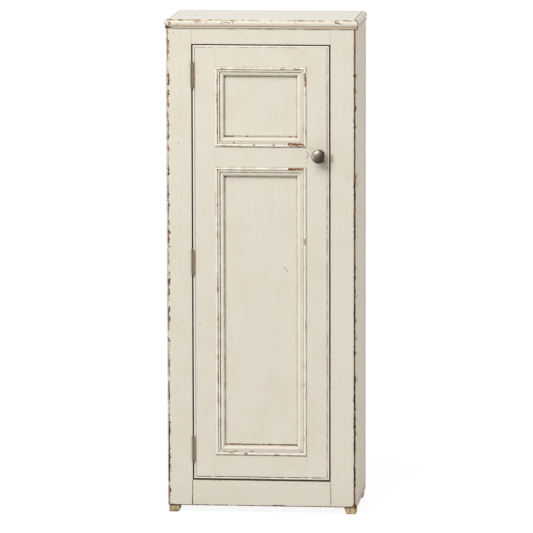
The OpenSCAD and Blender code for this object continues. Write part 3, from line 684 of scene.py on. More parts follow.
panelMoulding = {
    "width": 26.6,        # from the outer edge to the panel
    "beadWidth": 7.1,
    "quirkWidth": 1.5,
    "filletWidth": 4.4,
    "filletDrop": 1.5,
    "quirkDepth": {"top": 2.4, "left": 2.4, "bottom": 1.0, "right": 1.8},
    "deeper": 1.2,        # how much lower the inner quirk is
    "ovoloTop": 10.5,
    "nick": 0.45,
    "markY": -141,
}


def mouldingSection(crown, quirkDepth):
    part = panelMoulding
    bead, width, ovolo = part["beadWidth"], part["width"], part["ovoloTop"]
    filletTop = crown - part["filletDrop"]
    floor = filletTop - quirkDepth
    innerFloor = floor - part["deeper"]
    filletFrom = bead + part["quirkWidth"]
    filletTo = filletFrom + part["filletWidth"]
    ovoloFrom = filletTo + part["quirkWidth"]
    return [
        (0, 0, 0), (0, crown, bead * 0.48), (bead, crown, bead * 0.48), (bead, floor, 0),
        (filletFrom, floor, 0), (filletFrom, filletTop, 0.5), (filletTo, filletTop, 0.5),
        (filletTo, innerFloor, 0), (ovoloFrom, innerFloor, 0), (ovoloFrom, ovolo, 0.9),
        (width, ovolo, ovolo * 0.97), (width, 0, 0)]


def isLevel(side):
    return side in ("bottom", "top")


def ringRun(side, ring, y, section, name, nicks):
    # Runs one side of a ring, its width inwards and its height out of the door, mitred at both ends
    low, high = ring
    length = (high.x - low.x) if isLevel(side) else (high.z - low.z)
    origin = (high.x if side == "right" else low.x, y, high.z if side == "top" else low.z)
    inwards = {"bottom": (0, 0, 1), "top": (0, 0, -1), "left": (1, 0, 0), "right": (-1, 0, 0)}[side]
    place = axes(origin, (1, 0, 0) if isLevel(side) else (0, 0, 1), inwards, (0, -1, 0))
    return runMoulding(section, length, (1, 1), place, name + side.title(), nicks)


# Marks on the panel mouldings: from x and z, to x and z, half width, colour, strength, how broken
mouldingMarks = {
    "upper_moulding_top": [
        (-114, 1281, -110, 1279, 1.9, "brown", 0.9), (-106, 1280, -104, 1279, 1.8, "brown", 0.9),
        (-60, 1279, -48, 1280, 0.9, "rust", 0.6, 0.2), (54, 1281, 66, 1281, 1.7, "brown", 0.85, 0.1),
        (95, 1282, 108, 1281, 1.9, "brown", 0.9), (-131, 1284.5, 126, 1284.5, 1, "amber", 0.6, 0.35)],
    "upper_moulding_bottom": [
        (78, 1067, 93, 1066.5, 3.2, "rust"), (98, 1066.5, 121, 1065.5, 3.4, "rust"),
        (104, 1060, 110, 1060, 1.6, "dark"), (80, 1062, 120, 1061, 1, "dark", 0.8, 0.2),
        (-120, 1062, -60, 1061, 1.1, "rust", 0.8, 0.4), (-14, 1080, -8, 1080, 2, "rust", 0.8),
        (23, 1079, 27, 1079, 2, "brown", 0.85), (32, 1064, 37, 1064, 2, "rust", 0.85),
        (-23, 1063, -19, 1063, 2, "brown", 0.85), (-56, 1078, -51, 1078, 1.9, "rust", 0.8),
        (80, 1084, 86, 1084, 1.9, "rust", 0.8), (-80, 1070, -77, 1070, 1.9, "brown", 0.8)],
    "upper_moulding_left": [
        (-127, 1242, -127, 1226, 1.2, "rust", 0.9, 0.1), (-129, 1210, -129, 1190, 0.9, "rust", 0.7, 0.2),
        (-126, 1150, -126, 1120, 0.8, "grimeAndShade", 0.7, 0.3)],
    "upper_moulding_right": [
        (125, 1268, 125, 1248, 2.3, "brown", 0.95), (125, 1243, 124.5, 1232, 2.1, "rust", 0.95),
        (126, 1228, 126, 1205, 1.1, "brown", 0.8, 0.2), (127, 1110, 127, 1094, 1.2, "rust", 0.8)],
    "lower_moulding_top": [
        (78, 996.5, 118, 996.5, 2.8, "rust"), (78, 995, 90, 995, 1.3, "dark", 0.9),
        (-128, 998, 70, 998, 0.9, "rust", 0.7, 0.4)],
    "lower_moulding_right": [
        (124, 795, 124, 778, 1.3, "rust", 0.9, 0.1), (126, 560, 126, 520, 0.8, "grimeAndShade", 0.7, 0.3),
        (125, 350, 125, 330, 0.9, "rust", 0.7, 0.2)],
    "lower_moulding_left": [
        (-124, 437, -124, 424, 1.5, "rust", 0.9), (-128, 700, -128, 640, 0.8, "grimeAndShade", 0.7, 0.3),
        (-131, 930, -131, 860, 0.9, "rust", 0.7, 0.35)],
    "lower_moulding_bottom": [
        (-96, 176, -82, 175, 1.9, "grimeAndShade", 0.85), (-58, 198, -53, 198, 2.2, "brown", 0.85),
        (-50, 173, -43, 173, 2.2, "dark", 0.85), (25, 183, 29, 183, 1.9, "rust", 0.85),
        (58, 189, 62, 187, 2.2, "brown", 0.85), (-82, 180, -72, 180, 1.7, "rust", 0.8, 0.2),
        (-33, 180, -25, 180, 1.7, "brown", 0.8, 0.1), (-110, 179, -106, 178, 2, "rust", 0.8),
        (38, 172, 46, 171, 2, "rust", 0.85), (85, 183, 90, 182, 1.9, "brown", 0.8),
        (112, 182, 117, 181, 2, "rust", 0.8), (-15, 176, 10, 176, 0.9, "rust", 0.8, 0.3)],
}

# Paint of a moulding, its own copy of the cream for each side as painted light and shade, and how dark its
# outer edge, first quirk, fillet, second quirk, ovolo and foot are, from dirt and painted shade
mouldingDirtAndShade = {
    "top": ("cream", 0.35, 0.3, 0.12, 0.8, 0.35, 0.75),
    "left": ("creamPaintedLight", 0.12, 0.8, 0, 1.3, 0.5, 0.4),
    "bottom": ("creamPaintedShade", 1, 0, 0, 0.1, 0, 0.2),
    "right": ("creamWarmPaintedLight", 0.45, 0.3, 0, 0.1, 0, 0.35),
}


def mouldingFinish(node, side, ring, seed):
    part = panelMoulding
    paint, atEdge, atFirst, onFillet, atSecond, onOvolo, atFoot = mouldingDirtAndShade[side]
    bead, quirk, foot = part["beadWidth"], part["quirkWidth"], part["width"]
    coat = startCoat(node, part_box(node), "x" if isLevel(side) else "z", seed, paint, streaks=0.06, rough=0.38)
    spot = insetFrom(coat, ring)
    inset = spot["inset"]
    # Painted highlight along the crown of the bead
    paintedLight = ramp(inset, bead + 0.6, bead - 1.0, 0.0, 0.85)
    coat.colour = blend(paintedLight, coat.colour, "creamPaintedLight")
    firstQuirk = bead + quirk / 2
    fillet = firstQuirk + (quirk + part["filletWidth"]) / 2
    secondQuirk = firstQuirk + part["filletWidth"] + quirk
    for middle, reach, strength, colour in ((fillet, 3.4, onFillet, "grey"),
                                            (firstQuirk, 1.9, atFirst, "amber"),
                                            (secondQuirk, 2.2, atSecond, "amber")):
        dirtAndShadeWhere(coat, apart(inset, middle), reach, reach * 0.35, strength, colour)
    dirtAndShadeWhere(coat, inset, foot - 5.5, foot - 2.0, onOvolo, "amber")
    dirtAndShadeWhere(coat, inset, foot - 1.4, foot - 0.3, atFoot)
    dirtAndShadeWhere(coat, inset, 1.2, 0.3, atEdge, "rust" if side == "top" else "grimeAndShade")
    dirtAndShadeWhere(coat, spot["mitre"], 1.1, 0.2, 0.6)
    wearArris(coat, 0.8, 0.2, "rust", 0.8, apart(inset, bead * 0.8))
    drawMarks(coat, mouldingMarks[node], part["markY"])
    return closeCoat(coat, shine=0.45)


def panelRing(level, ring, seed):
    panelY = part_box("panel_" + level)[0].y
    for i, side in enumerate(sides):
        section = mouldingSection((panelY - ring[0].y) / mm, panelMoulding["quirkDepth"][side])
        node = level + "_moulding_" + side
        piece = ringRun(side, ring, panelY, section, level + "Moulding", panelMoulding["nick"])
        dress(piece, "door", node, mouldingFinish(node, side, ring, seed + 1.9 * i))


panelRing("upper", upperRing, 30.2)
panelRing("lower", lowerRing, 41.6)

# Marks on the panels, as on the mouldings, and how dark the line of dirt and painted shade along their foot is
panelMarks = {
    "upper": [
        (64, 1098, 66, 1091, 0.5, "grimeAndShade", 0.25), (-102, 1086.5, -80, 1086.5, 1.9, "brown", 0.8),
        (-46, 1086.5, -40, 1086.5, 1.7, "brown", 0.8), (80, 1086.5, 86, 1086.5, 1.7, "brown", 0.8)],
    "lower": [
        (61, 712, 71, 705, 0.7, "grimeAndShade", 0.75), (71, 705, 73, 699, 0.9, "grimeAndShade", 0.8),
        (-88, 508, -83, 494, 0.5, "grimeAndShade", 0.35)],
}
panelFootDirtAndShade = {"upper": 0.5, "lower": 0.95}


def panel(level, ring, seed):
    node = "panel_" + level
    coat = startCoat(node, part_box(node), "z", seed)
    spot = insetFrom(coat, ring)
    face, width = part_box(node)[0].y / mm, panelMoulding["width"]
    behind = ramp(coat.y, face + 0.6, face + 1.2, 0.0, 200.0)
    beyond = plus(minus(spot["inset"], width), behind)
    # Painted shade: the panel darker next to the mouldings
    dirtAndShadeWhere(coat, beyond, 7.0, 0.0, 0.16)
    dirtAndShadeWhere(coat, plus(spot["mitre"], beyond), 5.0, 2.5, 1.4, "dark")
    left, right = ring[0].x / mm + width, ring[1].x / mm - width
    foot, top = ring[0].z / mm + width + 2.8, ring[1].z / mm - width
    # Dirt and painted shade along the foot of the mouldings, then the marks
    drawMarks(coat, [
        (left, top, right, top, 1.2, "grimeAndShade", 0.6, 0.05), (left, foot, left, top, 0.8, "grimeAndShade", 0.3, 0.05),
        (left, foot, right, foot, 1.9, "grimeAndShade", panelFootDirtAndShade[level], 0.05),
        (right, foot, right, top, 1.1, "grimeAndShade", 0.5, 0.05)] + panelMarks[level], face)
    dress(easedBoard(node, level + "Panel", 0.3), "door", node, closeCoat(coat))


panel("upper", upperRing, 52.4)
panel("lower", lowerRing, 57.8)

edgeBead = {"width": 5.5, "quirk": 1.8, "quirkDepth": 1.7, "depth": 8.0, "nick": 0.5, "markY": -136.8}
# How far in the dirty line lies, and how dark it is
beadLine = {"bottom": (5.6, 0.85), "left": (6.4, 0.25), "top": (6.4, 0.15), "right": (5.8, 1.1)}
beadMarks = {
    "top": [(-190, 1341, 120, 1341, 1, "rust", 0.6, 0.4)],
    "right": [
        (187, 1120, 187, 1000, 1.3, "amber", 0.85, 0.1), (187, 950, 187, 700, 0.8, "grimeAndShade", 0.7, 0.35)],
    "bottom": [(-188, 105, 180, 105, 1.5, "brown", 0.95, 0.1)],
    "left": [(-190, 600, -190, 400, 0.6, "grimeAndShade", 0.7, 0.3)],
}


def doorBead(side, seed):
    node = "door_bead_" + side
    part = edgeBead
    depth, width, swell = part["depth"], part["width"], part["width"] * 0.48
    full, floor = width + part["quirk"], depth - part["quirkDepth"]
    section = [
        (0, 0, 0), (0, depth, swell), (width, depth, swell), (width, floor, 0), (full, floor, 0),
        (full, 0, 0)]
    # The bead is painted in the lighter copy of the cream, a painted highlight
    coat = startCoat(node, doorRing, "x" if isLevel(side) else "z", seed, "creamPaintedLight", "cream", 0.06, 0.38)
    inset = insetFrom(coat, doorRing)["inset"]
    lineAt, strength = beadLine[side]
    dirtAndShadeWhere(coat, apart(inset, lineAt), 1.6, 0.4, strength, "amber")
    if side == "left":
        # Old paint and dirt beside the hinges
        for level in hingeLevels:
            hingeLow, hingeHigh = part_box("hinge_frame_leaf_" + level)
            x, low, high = doorRing[0].x / mm + 3.2, hingeLow.z / mm + 1, hingeHigh.z / mm + 1
            drawMarks(coat, [(x + 1.6, low, x + 1.6, high, 1.4, "tan", 0.85),
                             (x - 1.0, low, x - 1.0, high, 1.3, "grimeAndShade", 0.7)], markY)
    dirtAndShadeWhere(coat, inset, 0.9, 0.2, 0.8, "brown")
    gapShadeAndDirt(coat, ramp(inset, 0.6, 0.2))
    drawMarks(coat, beadMarks[side], markY if side == "left" else part["markY"])
    if side == "left":
        piece = smoothCopy(node, "doorBeadLeft")
    else:
        piece = ringRun(side, doorRing, doorRing[0].y + depth * mm, section, "doorBead", part["nick"])
    dress(piece, "door", node, closeCoat(coat, shine=0.45))


for i, side in enumerate(sides):
    doorBead(side, 63.1 + 2.3 * i)
print("door finished")


# Top: middle board between cross-grain cleats, and a half-round nosing with a bead under it

nosing = {"thick": 20.0, "out": 3.0, "in": 9.5, "beadHigh": 5.0, "beadOut": 2.2, "nick": 0.7,
          "dashY": -137.5, "dashZ": 1420.2}


def topBoard(node, name, grain, seed):
    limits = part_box(node)
    coat = startCoat(name, limits, grain, seed, "topCream", "cream")
    dirtAndShadeWhere(coat, coat.distance, 1.6, 0.2, 0.3, "rust")
    wearArris(coat, 0.8, 0.25, strength=0.6)
    sunk = minus(limits[1].z / mm, coat.z)
    onTop = timesPlus(sunk, -20.0, coat.y)   # y, but only at the upper face
    dirtAndShadeWhere(coat, onTop, caseBack - 17, caseBack - 7, 0.5, "rust")
    if node == "top_cleat_right":
        edge = caseRight - nosing["in"]
        dirtAndShadeWhere(coat, coat.x, edge - 2.6, edge - 0.8, 1.0, "brown")
    dress(easedBoard(node, name, 0.5), "carcass", node, closeCoat(coat))


topBoard("top_board", "topBoard", "x", 71.7)
topBoard("top_cleat_left", "topCleatLeft", "y", 73.9)
topBoard("top_cleat_right", "topCleatRight", "y", 76.3)


def nosingSection():
    part = nosing
    out, high, bead, beadOut = part["out"], part["thick"], part["beadHigh"], part["beadOut"]
    return [
        (-part["in"], 0, 0), (-part["in"], high, 0), (out, high, high * 0.49), (out, 4.6, 4.4),
        (0.6, 0.8, 0.2),
        (0.6, 0, 0), (beadOut, 0, bead * 0.42), (beadOut, -bead, bead * 0.42), (0, -bead, 0), (0, 0, 0)]


# Dark dashes in the joint along the front of the top: from and to across, strength, colour
jointDashes = [
    (-268, -257, 1, "dark"), (-254, -248, 0.5, "grimeAndShade"), (-237, -225, 0.95, "dark"),
    (-211, -194, 0.75, "grey"), (-190, -176, 0.8, "rust"), (-150, -140, 0.6, "grey"),
    (-130, -120, 0.75, "grey"), (-90, -80, 0.7, "grey"), (-60, -50, 0.6, "rust"), (-30, -22, 0.75, "grey"),
    (75, 80, 0.6, "grimeAndShade"), (93, 122, 0.75, "grey"), (130, 152, 0.5, "rust"), (163, 171, 0.5, "rust"),
    (211, 221, 0.8, "rust"), (233, 245, 0.95, "dark"), (249, 258, 0.5, "grimeAndShade")]

# Marks: from x, y and z, to x, y and z, half width, colour, strength, how broken
nosingMarks = {
    "nosing_front": [
        (-264.5, -141, 1413, -260.5, -141, 1409.5, 1.7, "rust"),
        (-260.5, -141, 1409.5, -264.5, -141, 1404, 1.7, "rust"),
        (-261.5, -141, 1407, -262.5, -141, 1405.5, 1.3, "dark"),
        (-272, -140, 1399.5, -261, -140, 1397, 3.4, "dark"),
        (-274.5, -139, 1419, -276, -141, 1411, 1.3, "brown", 0.95),
        (-276, -141, 1411, -275, -140, 1403, 1.3, "brown", 0.95),
        (-268, -139, 1396.5, -246, -139, 1395.5, 1.5, "rust", 0.9),
        (-240, -141, 1408, -239.5, -141, 1405, 1.4, "dark", 0.95),
        (-200, -141, 1411, -199, -141, 1408, 0.9, "grimeAndShade", 0.7),
        (-189, -140, 1416, -174, -140, 1415, 2.2, "tan", 0.9),
        (-188, -141, 1411, -172, -141, 1411, 0.8, "rust", 0.6, 0.3),
        (-212, -139, 1395, -207, -139, 1394, 1.9, "dark"),
        (-198, -139, 1390, -197, -139, 1388, 1.5, "dark", 0.9),
        (-158, -141, 1414, -156, -141, 1411, 1, "rust", 0.8),
        (-136, -141, 1415, -133, -141, 1413, 1, "rust", 0.8),
        (-117, -141, 1408, -112, -141, 1410, 1, "dark", 0.8),
        (-112, -141, 1414, -96, -141, 1413, 1, "rust", 0.85),
        (-93, -141, 1414, -92, -141, 1410, 1.3, "dark", 0.9),
        (-83, -141, 1415, -79, -141, 1412, 1.3, "rust", 0.9),
        (9, -141, 1414, 9, -141, 1411, 0.7, "grimeAndShade", 0.6),
        (98, -141, 1414, 99, -141, 1408, 0.9, "grimeAndShade", 0.7), (210, -141, 1415, 218, -141, 1413, 1.7, "dark"),
        (218, -141, 1413, 228, -141, 1409, 1.3, "dark", 0.9),
        (226, -141, 1411, 237, -141, 1411, 0.6, "grimeAndShade", 0.5)],
    "nosing_right": [
        (274, 120, 1414, 275, 108, 1412, 1.6, "dark", 0.8),
        (275, -60, 1406, 276, -72, 1403, 1.4, "rust", 0.7),
        (272, 150, 1418, 274, 160, 1412, 1.5, "rust", 0.8)],
    "nosing_left": [
        (-272, 170, 1419.5, -272.5, 80, 1419.5, 2.6, "brown", 0.9),
        (-272.5, 80, 1419.5, -272.5, -137, 1419.5, 2, "grimeAndShade", 0.9, 0.05),
        (-275, 20, 1408, -276, 4, 1404, 1.4, "dark", 0.8)],
}


def nosingRun(node, name, seed):
    # The side nosing is painted in a darker copy of the cream, painted shade
    isFront, isRight = node == "nosing_front", node == "nosing_right"
    coat = startCoat(name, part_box(node), "x" if isFront else "y", seed, "sidePaintedShade" if isRight else "cream",
                     "cream", 0.08, 0.36)
    up = minus(coat.z, caseTop)
    # Dirt and painted shadow in the groove under the round and below the bead
    line = ramp(apart(up), 2.4, 1.0, 0.0, 0.3 if isRight else 0.85)
    wearOff(coat, line, "amber", depth=0.0)
    wearOff(coat, ramp(up, -3.2, -4.6, 0.0, 0.8), "amber", depth=0.0)
    # Painted shade: the side nosing darker towards its foot, the other two darker on the lower part of the
    # round
    if isRight:
        dirtAndShadeWhere(coat, up, 14.0, 2.0, 0.35)
    else:
        dirtAndShadeWhere(coat, apart(up, 4.0), 3.5, 0.0, 0.25, "tan")
        crest = apart(up, nosing["thick"] - 3.0)
        wearArris(coat, 2.2, 0.95, "creamAged", 0.85, crest)
        wearArris(coat, 1.6, 0.45, "tan", 0.85, crest)
    # The mitre, with a dark line on the right that widens upwards
    reach = apart(coat.x)
    mitre = apart(plus(reach, coat.y), caseRight + frameFront)
    wearArris(coat, 1.2, 0.8, distance=mitre)
    wider = ramp(up, 14.0, 19.0, 0.0, 2.2)
    dark = ramp(minus(mitre, wider), 2.8, 1.6, 0.0, 0.95)
    wearOff(coat, times(ramp(coat.x, 200, 210), dark), "brown")
    if isFront:
        z = nosing["dashZ"]
        for start, end, strength, colour in jointDashes:
            drawMarks(coat, [(start, z, end, z, 2.5, colour, strength)], nosing["dashY"])
    else:
        joint = plus(reach, nosing["in"] - caseRight)
        dirtAndShadeWhere(coat, joint, *((3.4, 1.2, 1.2) if isRight else (2.0, 0.6, 0.3)))
        dirtAndShadeWhere(coat, coat.y, caseBack - 8, caseBack - 3, 0.6)
    for mark in nosingMarks[node]:
        strokeAt(coat, mark[:3], mark[3:6], *mark[6:])
    if isFront:
        place = axes((caseLow.x, caseLow.y, caseHigh.z), (1, 0, 0), (0, -1, 0), (0, 0, 1))
        length, ends = caseHigh.x - caseLow.x, (-1, -1)
    else:
        out = 1 if isRight else -1
        place = axes((caseHigh.x * out, caseLow.y, caseHigh.z), (0, 1, 0), (out, 0, 0), (0, 0, 1))
        length, ends = caseHigh.y - caseLow.y, (-1, 0)
    piece = runMoulding(nosingSection(), length, ends, place, name, nosing["nick"])
    dress(piece, "carcass", node, closeCoat(coat, shine=0.45))


nosingRun("nosing_front", "nosingFront", 81.3)
nosingRun("nosing_left", "nosingLeft", 83.7)
nosingRun("nosing_right", "nosingRight", 86.1)
print("top finished")


# Case: painted sides, thinly painted inside, back boards and bare block feet

def caseBoard(node, name, grain, seed, colour="innerPaint", wear=0.9, share=0.45,
              nicks=None):
    coat = startCoat(name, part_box(node), grain, seed, colour, "creamAged", 0.16, 0.56)
    dirtAndShadeWhere(coat, coat.distance, 4.0, 0.0, 0.35)
    wearArris(coat, wear, share, strength=0.85)
    if node.startswith("side"):
        dirtAndShadeWhere(coat, coat.y, caseBack - 75, caseBack - 40, 0.3, "tan")
        dirtAndShadeWhere(coat, coat.y, frameBack + 2.0, frameBack, 0.5)
        dirtAndShadeWhere(coat, coat.z, 60, 20, 0.4)
    dress(easedBoard(node, name, 0.6, nicks=nicks), "carcass", node, closeCoat(coat))


for side, seed in (("left", 91.3), ("right", 93.9)):
    caseBoard("side_" + side, "side" + side.title(), "z", seed, "sideCream", 1.4, 0.55, ("z", 1.0))
for i in (1, 2, 3):
    caseBoard(f"back_board_{i}", f"backBoard{i}", "z", 97.1 + 2.1 * i)
caseBoard("floor_board", "floorBoard", "x", 105.3)
caseBoard("door_stop", "doorStop", "x", 107.9)
for i, level in enumerate(hingeLevels):
    caseBoard("shelf_" + level, "shelf" + level.title(), "x", 110.3 + 2.7 * i)
for i, side in enumerate(("left", "right")):
    caseBoard("bearers_" + side, "bearers" + side.title(), "y", 121.1 + 2.9 * i)


def blockFoot(node, name, seed):
    coat = startCoat(name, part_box(node), "z", seed, "footWood", "tan", 0.1, 0.7)
    grain = useGroup(coat, woodGrain)
    wearOff(coat, times(ramp(grain["rings"], 0.45, 0.9), 0.4), "footDark", depth=0.2)
    wearOff(coat, times(ramp(grain["pores"], 0.55, 0.75), 0.35), "footDark", depth=0.2)
    dirtAndShadeWhere(coat, coat.z, 5, 0, 0.5)
    # Painted shadow under the case, along the top of the foot
    dirtAndShadeWhere(coat, coat.z, 17.0, 19.0, 1.0 if "left" in node else 0.6, "dark")
    wearArris(coat, 0.8, 0.5, "footDark")
    inner = timesPlus(coat.z, -0.1, apart(coat.x))   # the side that faces the other foot, which leans; it is painted dark as painted shade
    wearOff(coat, ramp(inner, 239.0, 237.6), "dark")
    if node == "foot_front_right":
        chipAt(coat, (253, -134, 11), (1.8, 8, 2.2), "dark")
        # Darker towards its right side
        dirtAndShadeWhere(coat, coat.x, 264, 268, 0.9)
    dress(easedBoard(node, name, 0.7, 8.0), "carcass", node, closeCoat(coat, 0.5))


for i, corner in enumerate(("front_left", "front_right", "back_left", "back_right")):
    blockFoot("foot_" + corner, "foot" + corner.title().replace("_", ""), 131.3 + 2.3 * i)
print("case finished")


# Ironmongery: butt hinges under old paint, pewter knob, and the latch behind the door

def ironFinish(name, seed, limits, axisX=None):
    coat = startCoat(name, limits, "z", seed, "iron", "ironDark", 0.05, 0.55)
    wearOff(coat, ramp(coat.marks["patchy"], 0.5, 0.9), "rust", depth=0.3, strength=0.3)
    if axisX is not None:
        # Old paint stays on the side away from the door's edge and is rubbed off the crown
        left = minus(timesPlus(coat.marks["ragged"], 2.2, axisX - 2.0), coat.x)
        kept = times(ramp(left, -0.3, 0.9), 0.72)
        right = ramp(coat.x, axisX + 0.6, axisX + 2.8, 0.0, 0.9)
        coat.colour = blend(right, coat.colour, "hingePaint")
        coat.colour = blend(kept, coat.colour, "dirtyCream")
        coat.height = timesPlus(kept, 0.8, coat.height)
    return closeCoat(coat, 0.5)


hingeX = sum(limit.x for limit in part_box("hinge_pins")) / 2
barrel = (Vector((hingeX, 0, 0)), Vector((hingeX, 0, 0)))
for i, level in enumerate(hingeLevels):
    for leaf, body, more in (("frame", "carcass", 0), ("door", "door", 1.3)):
        node, name = f"hinge_{leaf}_leaf_{level}", f"hinge{leaf.title()}Leaf{level.title()}"
        finish = ironFinish(name, 141.3 + 3.1 * i + more, barrel, hingeX / mm)
        dress(smoothCopy(node, name), body, node, finish)
smallIron = [
    ("hinge_pins", "hingePins", "carcass"), ("frame_leaf_screws", "frameScrews", "carcass"),
    ("door_leaf_screws", "doorScrews", "door"), ("spindle", "latchSpindle", "latch"),
    ("latch_tongue", "latchTongue", "latch"), ("latch_nut", "latchNut", "latch")]
for i, (node, name, body) in enumerate(smallIron):
    dress(smoothCopy(node, name), body, node, ironFinish(name, 161.1 + 2.3 * i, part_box(node)))

knobShape = {"head": 41.0, "stem": 13.0, "flange": 19.0, "rimRadius": 2.5, "domeIn": 4.5, "domeHigh": 4.5}


def pewterFinish(name, seed, limits, paintedLight=False):
    coat = startCoat(name, limits, "y", seed, "pewter", "pewterDark", 0.3, 0.42)
    if paintedLight:
        # Painted light: a painted highlight towards the upper left and painted shade towards the lower right, a
        # dark patina in the groove, and painted highlights inside the rim and at its right edge
        middle = (limits[0] + limits[1]) / 2 / mm
        x, z = minus(coat.x, middle.x), minus(coat.z, middle.z)
        out = calc("POWER", timesPlus(x, x, times(z, z)), 0.5)
        toward = timesPlus(x, -0.86, times(z, 0.5))
        paintedShading = blend(ramp(toward, -11.0, 18.0), "knobPaintedShade", "knobPaintedLit")
        coat.colour = blend(0.85, coat.colour, paintedShading)
        groove = apart(out, knobShape["head"] / 2 - knobShape["domeIn"])
        wearOff(coat, ramp(groove, 1.1, 0.3), "ironDark", depth=0.3, strength=0.7)
        inner = times(ramp(apart(out, 15.6), 2.6, 0.8), ramp(toward, 5.5, 12.0))
        outer = times(ramp(apart(out, 18.2), 1.8, 0.6), ramp(x, 15.0, 18.0, 0.0, 0.6))
        for bright in (inner, outer):
            coat.colour = blend(bright, coat.colour, "knobPaintedHighlight")
    return closeCoat(coat, 0.25, 0.12, metallic=1.0)


def turnedKnob():
    part = knobShape
    low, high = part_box("knob")
    length = (high.y - low.y) / mm
    head, stem, flange = part["head"] / 2, part["stem"] / 2, part["flange"] / 2
    rimTop = length - part["domeHigh"]
    rimLow = rimTop - 2 * part["rimRadius"]
    groove = head - part["domeIn"]
    section = [
        (0, 0, 0), (flange, 0, 0.4), (flange, 1.6, 0.4), (stem, 2.4, 1.0), (stem, rimLow - 0.4, 8.5),
        (head - 0.4, rimLow - 0.2, 0.6), (head, rimLow + 1.2, 0.8), (head, rimTop, 2.2),
        (groove + 0.6, rimTop - 0.2, 0.6), (groove, rimTop - 0.6, 0.3), (groove - 0.4, rimTop + 0.4, 0.8),
        (groove - 7.5, length - 1.0, 5.0), (0, length, 0)]
    mesh = sectionFace(section, 6)
    bmesh.ops.delete(mesh, geom=list(mesh.faces), context="FACES_ONLY")
    onAxis = [edge for edge in mesh.edges if all(abs(vert.co.y) < 1e-6 for vert in edge.verts)]
    bmesh.ops.delete(mesh, geom=onAxis, context="EDGES")
    bmesh.ops.spin(mesh, geom=mesh.verts[:] + mesh.edges[:], cent=(0, 0, 0), axis=(0, 0, 1),
                   angle=2 * math.pi, steps=72, use_merge=True, dvec=(0, 0, 0))
    bmesh.ops.remove_doubles(mesh, verts=mesh.verts, dist=0.005 * mm)
    middle = (low + high) / 2
    place = axes((middle.x, high.y, middle.z), (1, 0, 0), (0, 0, 1), (0, -1, 0))
    bmesh.ops.transform(mesh, verts=mesh.verts, matrix=place)
    return finishMesh(mesh, "doorKnob", 40)


dress(turnedKnob(), "latch", "knob", pewterFinish("knob", 151.7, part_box("knob"), True))
dress(smoothCopy("knob_rose", "knobRose"), "door", "knob_rose",
      pewterFinish("knobRose", 153.1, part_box("knob_rose")))
print("ironmongery finished")


# Floor, light and camera

white = (1, 1, 1, 1)
studio = {
    "skyStrength": 0.42,
    "floorBounce": 0.50,   # grey of the floor as it lights the cupboard
    "floorShown": 0.12,    # grey and glow of the floor as the camera sees it
    "floorGlow": 0.92,
    "floorDrop": 0.1,      # millimetres below the feet
    "sunPower": 1.74,
    "sunAngle": 40,
    "sunFrom": (-0.42, -1.0, 1.15),
}
softLamps = {
    # Above and to the left, lights the upper half more
    "lampLight": {"power": 16.0, "size": 0.9, "place": (-1.1, -1.9, 2.45), "aim": (0.0, -0.14, 1.15)},
    # Large, lifts the right side
    "fillLight": {"power": 14.0, "size": 1.6, "place": (3.0, 0.2, 1.3), "aim": (0.27, 0.0, 0.8)},
    # Behind, for the back; it stays below the top
    "backLight": {"power": 22.0, "size": 1.1, "place": (-0.9, 3.4, 0.75), "aim": (0.0, 0.17, 0.75)},
}


def shownRays(tree):
    # 1 for rays from the camera and for mirror and glass rays
    path = addNode(tree, "LightPath").outputs
    return greater(greater(path["Is Camera Ray"], path["Is Glossy Ray"]), path["Is Transmission Ray"])


def addLamp(name, kind, power, away):
    # Shines from the direction that it is given
    light = bpy.data.lights.new(name, kind)
    light.energy = power
    lamp = addObject(name, light)
    lamp.rotation_euler = Vector(away).to_track_quat("Z", "Y").to_euler()
    return light, lamp


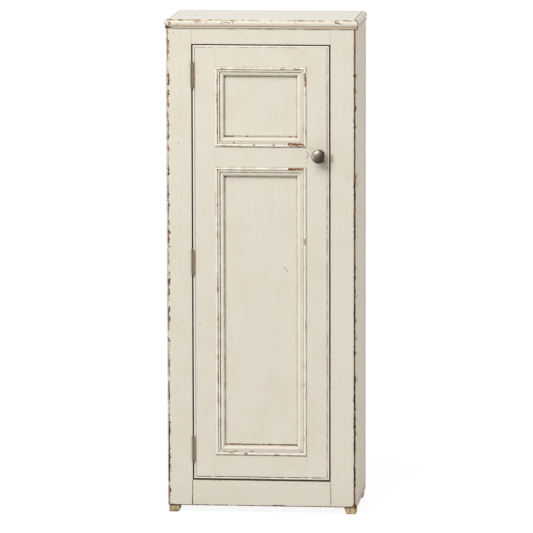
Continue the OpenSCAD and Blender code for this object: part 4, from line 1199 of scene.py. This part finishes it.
def lightRoom():
    world = bpy.data.worlds.new("studio")
    bpy.context.scene.world = world
    world.use_nodes = True
    tree = world.node_tree
    plain = tree.nodes["Background"]
    plug(plain.inputs["Color"], white)
    plug(plain.inputs["Strength"], studio["skyStrength"])
    shown = addNode(tree, "Background", {"Color": white, "Strength": 1.0})
    mix = addNode(tree, "MixShader", {0: shownRays(tree), 1: plain.outputs[0], 2: shown.outputs[0]})
    plug(tree.nodes["World Output"].inputs["Surface"], mix.outputs[0])
    sun = addLamp("windowLight", "SUN", studio["sunPower"], studio["sunFrom"])[0]
    sun.angle = math.radians(studio["sunAngle"])
    for name, given in softLamps.items():
        away = Vector(given["place"]) - Vector(given["aim"])
        light, lamp = addLamp(name, "AREA", given["power"], away)
        light.size = given["size"]
        lamp.location = given["place"]


def layFloor():
    mesh = bmesh.new()
    bmesh.ops.create_grid(mesh, x_segments=1, y_segments=1, size=60.0)
    bmesh.ops.translate(mesh, verts=mesh.verts, vec=(0, 0, -studio["floorDrop"] * mm))
    floor = finishMesh(mesh, "studioFloor")
    material = bpy.data.materials.new("studioFloorFinish")
    material.use_nodes = True
    tree = material.node_tree
    tree.nodes.remove(tree.nodes["Principled BSDF"])
    bounce, surface = (addNode(tree, "BsdfDiffuse", {"Color": (grey, grey, grey, 1)}).outputs[0]
                       for grey in (studio["floorBounce"], studio["floorShown"]))
    glow = addNode(tree, "Emission", {"Color": white, "Strength": studio["floorGlow"]}).outputs[0]
    lit = addNode(tree, "AddShader", {0: surface, 1: glow}).outputs[0]
    mix = addNode(tree, "MixShader", {0: shownRays(tree), 1: bounce, 2: lit}).outputs[0]
    plug(tree.nodes["Material Output"].inputs["Surface"], mix)
    floor.data.materials.append(material)


camera = {
    "place": (1.39337, -13.95872, 2.61725),
    "yaw": 0.0995063, "pitch": 0.1360918, "roll": -0.0020736,
    "lens": 331.87, "sensor": 36, "clipEnd": 200,
}


def setCamera():
    yaw, pitch, roll = camera["yaw"], camera["pitch"], camera["roll"]
    turns = [Matrix.Rotation(angle, 4, axis)
             for angle, axis in ((yaw, "Z"), (math.pi / 2 - pitch, "X"), (roll, "Z"))]
    data = bpy.data.cameras.new("photographer")
    data.lens = camera["lens"]
    data.sensor_width = camera["sensor"]
    data.clip_end = camera["clipEnd"]
    eye = addObject("photographer", data)
    eye.matrix_world = Matrix.Translation(camera["place"]) @ turns[0] @ turns[1] @ turns[2]
    bpy.context.scene.camera = eye


lightRoom()
layFloor()
setCamera()
bpy.context.scene.view_settings.view_transform = "Standard"
print("light and camera set")
